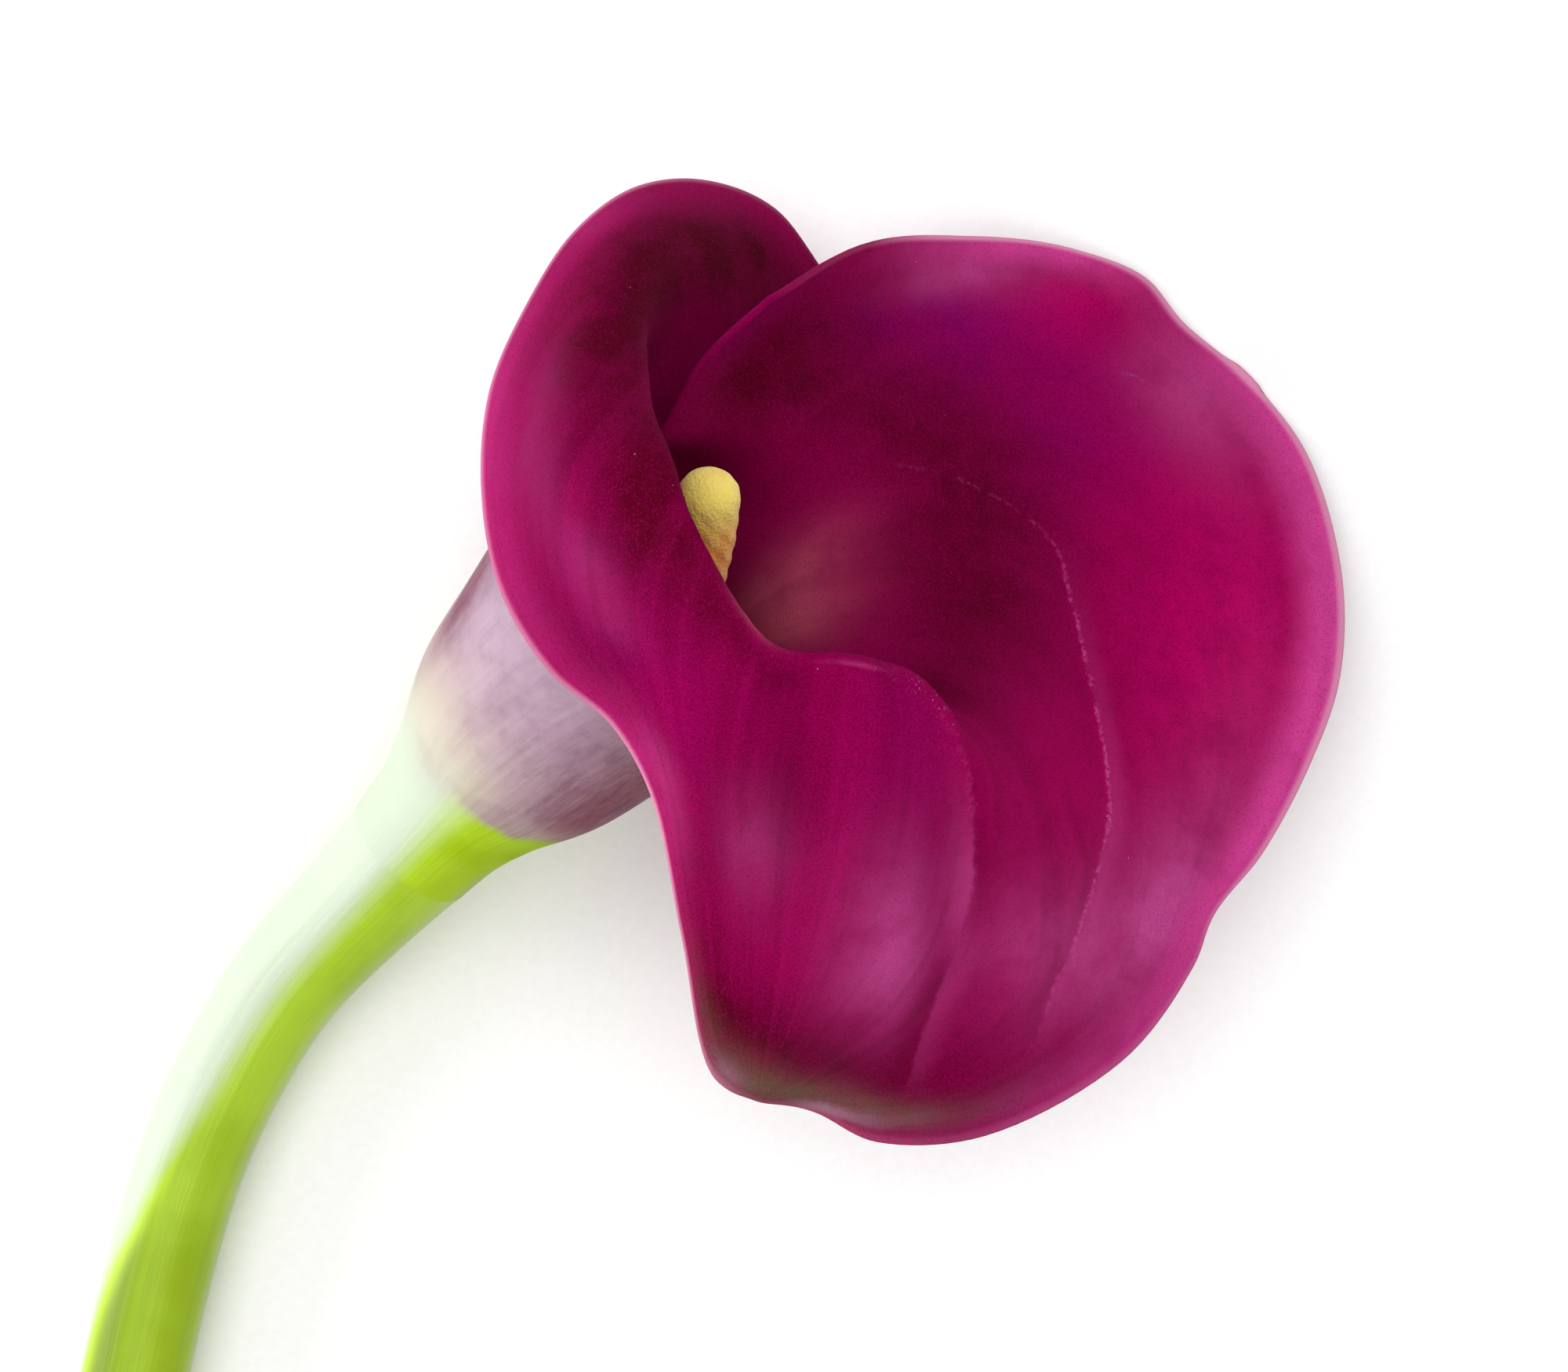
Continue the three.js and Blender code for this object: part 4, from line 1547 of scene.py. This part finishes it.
@dataclass(frozen=True)
class StalkFinish:
    """The waxy green of the stalk, with painted highlight and painted shade on it, and the wet,
    pitted cut across it.
    """

    skin: GreenFlesh = GreenFlesh()
    pith: tuple = colour(214, 222, 160)
    vessel: tuple = colour(126, 134, 62)
    dry: tuple = colour(150, 128, 80)
    vessel_scale: float = 1050.0
    vessel_spread: float = 0.8
    vessel_depth: float = 2.5
    blotch: Cloud = Cloud(420.0)
    rough: float = 0.34
    rough_swing: float = 0.12

    def make(self) -> bpy.types.Material:
        """Makes the stalk's material.

        Returns:
            The material.
        """
        recipe = Recipe("stalk_skin")
        # pale: the painted highlight, or below 0 the painted shade, laid on the skin.
        cut, reach, pale = recipe.three(Grain.PLACE)
        base, grain = self.skin.lay(recipe, pale)
        place = recipe.place()
        vessels = recipe.cells(place, self.vessel_scale, self.vessel_spread)
        face = recipe.coats(
            self.pith,
            (vessels, 0.34, 0.16, 0.75, self.vessel),
            (reach, 0.86, 1.0, 0.8, self.skin.deep),
            (recipe.noise(place, self.blotch), 0.5, 0.68, 0.5, self.dry),
        )
        whole = recipe.maths("SUBTRACT", 1.0, cut)
        pits = recipe.times(vessels, cut, self.vessel_depth)
        height = recipe.sum(recipe.times(grain, whole), pits)
        return recipe.surface(
            recipe.tint(cut, base, face),
            recipe.sum(self.rough, recipe.times(grain, self.rough_swing)),
            recipe.bump(height, GRAIN_DEPTH),
            Specular_IOR_Level=0.16,
            Coat_Weight=0.12,
            Coat_Roughness=0.4,
            Subsurface_Weight=0.2,
            Subsurface_Radius=(0.7, 1.0, 0.2),
            Subsurface_Scale=0.002,
        )


@dataclass
class Stalk:
    """The solid green stalk, with its neck inside the spathe.

    The neck is given by millimetres along the bloom's axis and its radius, and the route by
    the places of its middle line on the table, from the bloom down.
    """

    axis: FlowerAxis
    radius: float = 5.32
    swell: float = 1.5
    swell_length: float = 13.0
    lift_length: float = 34.0
    lift_power: float = 2.2
    flat: float = math.cos(math.pi / 16)
    foot: float = -10.0
    gap: float = 0.3
    sides: int = 80
    steps: int = 170
    ribs: int = 13
    rib_height: float = 0.015
    # The painted highlight and painted shade on the stalk's sides.
    bloom: PaintedSideLight = PaintedSideLight()
    smoothing: int = 90
    step_power: float = 1.3
    edge_round: float = 0.35
    edge_rings: int = 5
    dish: float = 0.45
    dish_start: float = 0.88
    dish_rings: int = 14
    off_middle: float = 1e-9
    neck: tuple = ((-6, 4.05), (-2, 4.05), (0.4, 3.4))
    route: tuple = (
        (-32.9, 14.6), (-38.8, 8.4), (-42.8, 1.8), (-46.1, -4.5), (-48.6, -10.8),
        (-50.4, -17), (-52, -23.3), (-53.4, -29.5), (-55.2, -39), (-57.2, -51),
        (-58.9, -63), (-60.2, -75), (-61.1, -86.57),
    )

    def line(self) -> tuple[np.ndarray, np.ndarray, np.ndarray, np.ndarray]:
        """Lays out the middle line, from the shoulder down.

        Returns:
            Its points, their runs from the shoulder, their headings and their radii.
        """
        point, forward, _, _ = self.axis.at(self.foot)
        shoulder = point - self.gap * forward
        flat = np.array([[shoulder[0], shoulder[1]], *self.route])
        dense = self.smoothed(curve_through(flat, np.linspace(0, 1, DENSE)))
        run = run_along(dense)
        share = np.linspace(0, 1, self.steps + 1) ** self.step_power
        at = share * run[-1]
        plan = np.stack([np.interp(at, run, dense[:, k]) for k in (0, 1)], -1)
        radii = self.radius + self.swell * np.exp(-at / self.swell_length)
        lift = shoulder[2] - radii[0] * self.flat
        rising = np.maximum(1 - at / self.lift_length, 0) ** self.lift_power
        centres = np.concatenate([plan, (radii * self.flat + lift * rising)[:, None]], 1)
        directions = -unit(np.gradient(centres, at, axis=0))
        directions[at > self.lift_length, 2] = 0
        directions[0] = forward
        return centres, at, unit(directions), radii

    def smoothed(self, line: np.ndarray) -> np.ndarray:
        """Evens a line out along its length, its ends kept.

        Args:
            line: The line's points.

        Returns:
            The points, each the mean of its neighbours.
        """
        number = np.arange(len(line))
        reach = np.minimum(np.minimum(number, number[::-1]), self.smoothing)
        sums = np.concatenate([np.zeros((1, line.shape[1])), np.cumsum(line, axis=0)])
        return (sums[number + reach + 1] - sums[number - reach]) / (2 * reach + 1)[:, None]

    def build(self, material: bpy.types.Material) -> bpy.types.Object:
        """Builds the stalk in place.

        Args:
            material: Its finish.

        Returns:
            The finished piece.
        """
        centres, run, directions, radii = self.line()
        end, facing, reach = centres[-1], directions[-1], radii[-1]
        rings = [
            (*self.axis.at(along)[:2], radius, self.foot - along, 0.0)
            for along, radius in [(self.neck[-1][0], 0.0), *reversed(self.neck)]
        ]
        rings.append((centres[0], directions[0], self.neck[0][1], 0.0, 0.0))
        rings += [
            (*ring, 0.0) for ring in zip(centres[:-1], directions[:-1], radii[:-1], run[:-1])
        ]
        for angle in np.linspace(0, math.pi / 2, self.edge_rings):
            back = self.edge_round * (1 - math.sin(angle))
            inward = self.edge_round * (1 - math.cos(angle))
            rings.append((end + facing * back, facing, reach - inward, run[-1], math.sin(angle)))
        for share in np.linspace(self.dish_start, 0, self.dish_rings):
            back = self.dish * (1 - share**2)
            rings.append((end + facing * back, facing, reach * share, run[-1], 1.0))
        middles, headings, widths, runs, cuts = (np.array(row, float) for row in zip(*rings))
        rod = Rod(middles, headings, widths, self.sides)
        rib = self.rib_height * np.cos(self.ribs * rod.angles())[None, :]
        skin = (cuts == 0) & (runs > 0)
        points = rod.points(rib * skin[:, None])
        points[..., 2] = np.maximum(points[..., 2], 0)
        shape = points.shape[:2]
        cut = np.broadcast_to(cuts[:, None], shape)
        across = np.broadcast_to((widths / reach)[:, None], shape)
        normals = unit(points - middles[:, None] + self.off_middle)
        # Painted highlight on the upper left side and right brink, painted shade lower down.
        pale = self.bloom.on(normals, headings[:, None], runs[:, None])
        values = {
            Grain.FLOW: rod.flow(runs, self.radius),
            Grain.PLACE: np.stack([cut, across, pale], -1),
        }
        weave = Weave("stalk", "stem", self.sides, len(rings) - 1)
        weave.spread(points, values)
        weave.close()
        return weave.finish([material])


@dataclass(frozen=True)
class SpadixFinish:
    """The golden florets of the spadix, dusted with pollen, with painted shade in the hollows
    between florets and a painted highlight on their tops.
    """

    gold: tuple = colour(252, 226, 112)
    # Pale yellow: a painted highlight on the floret tops, and the pollen.
    pale: tuple = colour(253, 236, 150)
    amber: tuple = colour(246, 164, 70)
    # Painted shade colour for the hollows between florets.
    brown_and_shade: tuple = colour(222, 140, 56)
    pollen_scale: float = 3400.0
    cloud: Cloud = Cloud(420.0, 3.0, 0.6)
    rough: float = 0.62
    rough_swing: float = 0.2
    pollen_depth: float = -0.8

    def make(self) -> bpy.types.Material:
        """Makes the spadix's material.

        Returns:
            The material.
        """
        recipe = Recipe("spadix_florets")
        place = recipe.place()
        height, share, _ = recipe.three(Grain.PLACE)
        pollen = recipe.cells(place, self.pollen_scale)
        cloud = recipe.noise(place, self.cloud)
        base = recipe.coats(
            self.amber,
            (share, 0.84, 0.96, 1.0, self.gold),
            # Painted shade in the hollows between florets and a painted highlight on their tops.
            (height, 0.4, 0.1, 0.18, self.brown_and_shade),
            (height, 0.55, 0.95, 0.4, self.pale),
            (cloud, 0.5, 0.7, 0.3, self.amber),
            (pollen, 0.3, 0.1, 0.5, self.pale),
        )
        relief = recipe.sum(recipe.times(pollen, self.pollen_depth), cloud)
        return recipe.surface(
            base,
            recipe.sum(self.rough, recipe.times(pollen, self.rough_swing)),
            recipe.bump(relief, GRAIN_DEPTH),
            Specular_IOR_Level=0.3,
            Sheen_Weight=0.2,
            Sheen_Roughness=0.5,
            Subsurface_Weight=0.15,
            Subsurface_Radius=(1.0, 0.6, 0.2),
            Subsurface_Scale=0.001,
        )


@dataclass
class Spadix:
    """The yellow club in the throat, covered with florets, leaning over at its tip.

    Its middle line starts on the bloom's axis, at millimetres along it, and ends in a route
    of places of its own. Ramps along it are given by shares of its length.
    """

    axis: FlowerAxis
    radius: float = 3.1
    foot_radius: float = 2.7
    widening: tuple[float, float] = (0, 0.3)
    dome: float = 2.8
    dome_power: float = 2.4
    dome_span: tuple[float, float] = (0.9, 0.02)
    dome_rings: int = 24
    relief: float = 0.3
    florets_round: int = 9
    floret_length: float = 2.2
    pit: float = 0.1
    pit_from: float = 0.8
    calm: float = 0.6
    calm_from: float = 0.78
    foot_fade: float = 0.04
    top_fade: float = 0.7
    sides: int = 126
    steps: int = 300
    on_axis: tuple = (0.7, 6, 16)
    route: tuple = ((1.6, 46.4, 36), (3.3, 50.6, 40), (4.1, 54.7, 44), (4.3, 57, 46.3))

    def floret(self, angle: np.ndarray, run: np.ndarray) -> np.ndarray:
        """Returns how far the florets stand out, from 0 to 1, by run and angle."""
        row = math.pi * run[:, None] / self.floret_length
        return 0.5 + 0.5 * np.cos(self.florets_round * angle[None, :] + row) * np.cos(row)

    def build(self, material: bpy.types.Material) -> bpy.types.Object:
        """Builds the spadix in place.

        Args:
            material: Its finish.

        Returns:
            The finished piece.
        """
        knots = [*(self.axis.at(along)[0] for along in self.on_axis), *self.route]
        dense = curve_through(np.array(knots, float), np.linspace(0, 1, DENSE))
        length = run_along(dense)
        run = np.linspace(0, 1, self.steps + 1)
        closer = np.linspace(*self.dome_span, self.dome_rings)
        run = np.concatenate([run, 1 - (self.dome / length[-1]) * closer])
        run = np.unique(run.round(6)) * length[-1]
        centres = np.stack([np.interp(run, length, dense[:, k]) for k in range(3)], -1)
        directions = unit(np.gradient(centres, run, axis=0))
        share = run / length[-1]
        left = np.minimum((length[-1] - run) / self.dome, 1)
        dome = np.sqrt(np.maximum(1 - (1 - left) ** self.dome_power, 0.0))
        body = mix(self.foot_radius, self.radius, ramp(*self.widening, share)) - self.relief
        rod = Rod(centres, directions, body * dome, self.sides)
        angle = rod.angles() + math.pi / 2
        bump = self.floret(angle, run)
        calm = 1 - self.calm * ramp(self.calm_from, 1, share)
        fade = ramp(0, self.foot_fade, share) * ramp(0, self.top_fade, left) * calm
        swell = self.relief * bump * (fade * dome)[:, None]
        dimple = self.pit * ramp(self.pit_from, 1, bump) * (fade * dome)[:, None]
        points = rod.points(swell - dimple)
        ends = [np.repeat(points[k].mean(0)[None, None], self.sides + 1, 1) for k in (0, -1)]
        points = np.concatenate([ends[0], points, ends[1]])
        height = np.pad(bump * fade[:, None] + 0.5 * (1 - fade[:, None]), ((1, 1), (0, 0)), "edge")
        share = np.pad(share, (1, 1), "edge")[:, None] + 0 * height
        weave = Weave("spadix_club", "spadix", self.sides, len(points) - 1)
        weave.spread(points, {Grain.PLACE: np.stack([height, share, 0 * share], -1)})
        weave.close()
        return weave.finish([material])


@dataclass(frozen=True)
class Lamp:
    """A soft square lamp, its place and side in metres."""

    name: str
    place: tuple[float, float, float]
    side: float
    power: float

    def hang(self, target: Vector) -> None:
        """Puts the lamp up, facing a point.

        Args:
            target: The point, in metres.
        """
        data = bpy.data.lights.new(self.name, "AREA")
        data.size = self.side
        data.energy = self.power
        lamp = linked(self.name, data)
        lamp.location = self.place
        lamp.rotation_euler = (target - Vector(self.place)).to_track_quat("-Z", "Y").to_euler()


@dataclass
class Studio:
    """The camera over the table, the soft lamps and the pale floor."""

    camera_place: tuple[float, float, float] = (0.011, 0.038, 0.45)
    lens: float = 102.6
    sensor: float = 36.0
    floor_side: float = 6.0
    sky: float = 0.56
    near: float = 0.01
    paper: Cloud = Cloud(900.0, 3.0, 0.6)
    paper_rough: float = 0.9
    paper_depth: float = 0.00003
    target: tuple[float, float, float] = (0.0, 0.03, 0.03)
    lamps: tuple[Lamp, ...] = (
        Lamp("side", (-0.62, 0.1, 0.16), 0.5, 4.6),
        Lamp("top", (-0.1, 0.05, 1.2), 1.2, 9.5),
    )

    def camera(self) -> None:
        """Hangs the camera straight above the table, the picture's top towards +Y."""
        data = bpy.data.cameras.new("camera")
        data.lens = self.lens
        data.sensor_width = self.sensor
        data.clip_start = self.near
        camera = linked("camera", data)
        camera.location = self.camera_place
        bpy.context.scene.camera = camera

    def floor(self) -> None:
        """Lays the floor, with a faint paper grain."""
        mesh = bmesh.new()
        bmesh.ops.create_grid(mesh, x_segments=8, y_segments=8, size=self.floor_side / 2)
        data = bpy.data.meshes.new("floor")
        mesh.to_mesh(data)
        mesh.free()
        floor = linked("floor", data)
        recipe = Recipe("floor_paper")
        grain = recipe.noise(recipe.place(), self.paper)
        dim, bright = colour(250, 250, 249), colour(253, 253, 253)
        shade = recipe.tint(recipe.ease(grain, 0.3, 0.7), dim, bright)
        relief = recipe.bump(grain, self.paper_depth)
        paper = recipe.surface(shade, self.paper_rough, relief, Specular_IOR_Level=0.1)
        data.materials.append(paper)

    def light(self) -> None:
        """Sets the even surrounding light and hangs the lamps."""
        world = bpy.data.worlds.new("surround")
        bpy.context.scene.world = world
        world.use_nodes = True
        background = world.node_tree.nodes["Background"]
        background.inputs["Color"].default_value = (1.0, 1.0, 1.0, 1.0)
        background.inputs["Strength"].default_value = self.sky
        for lamp in self.lamps:
            lamp.hang(Vector(self.target))

    def build(self) -> None:
        """Sets up the whole studio."""
        bpy.context.scene.view_settings.view_transform = "Standard"
        self.camera()
        self.floor()
        self.light()


def main() -> None:
    """Builds the studio and the bloom's three pieces, and reports each."""
    logging.basicConfig(level=logging.INFO, format="%(name)s: %(message)s")
    axis = FlowerAxis()
    Studio().build()
    spathe = Spathe(axis).build(SpatheFinish().make())
    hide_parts("spathe")
    stalk = Stalk(axis).build(StalkFinish().make())
    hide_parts("stem")
    spadix = Spadix(axis).build(SpadixFinish().make())
    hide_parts("spadix")


if __name__ == "__main__":
    main()
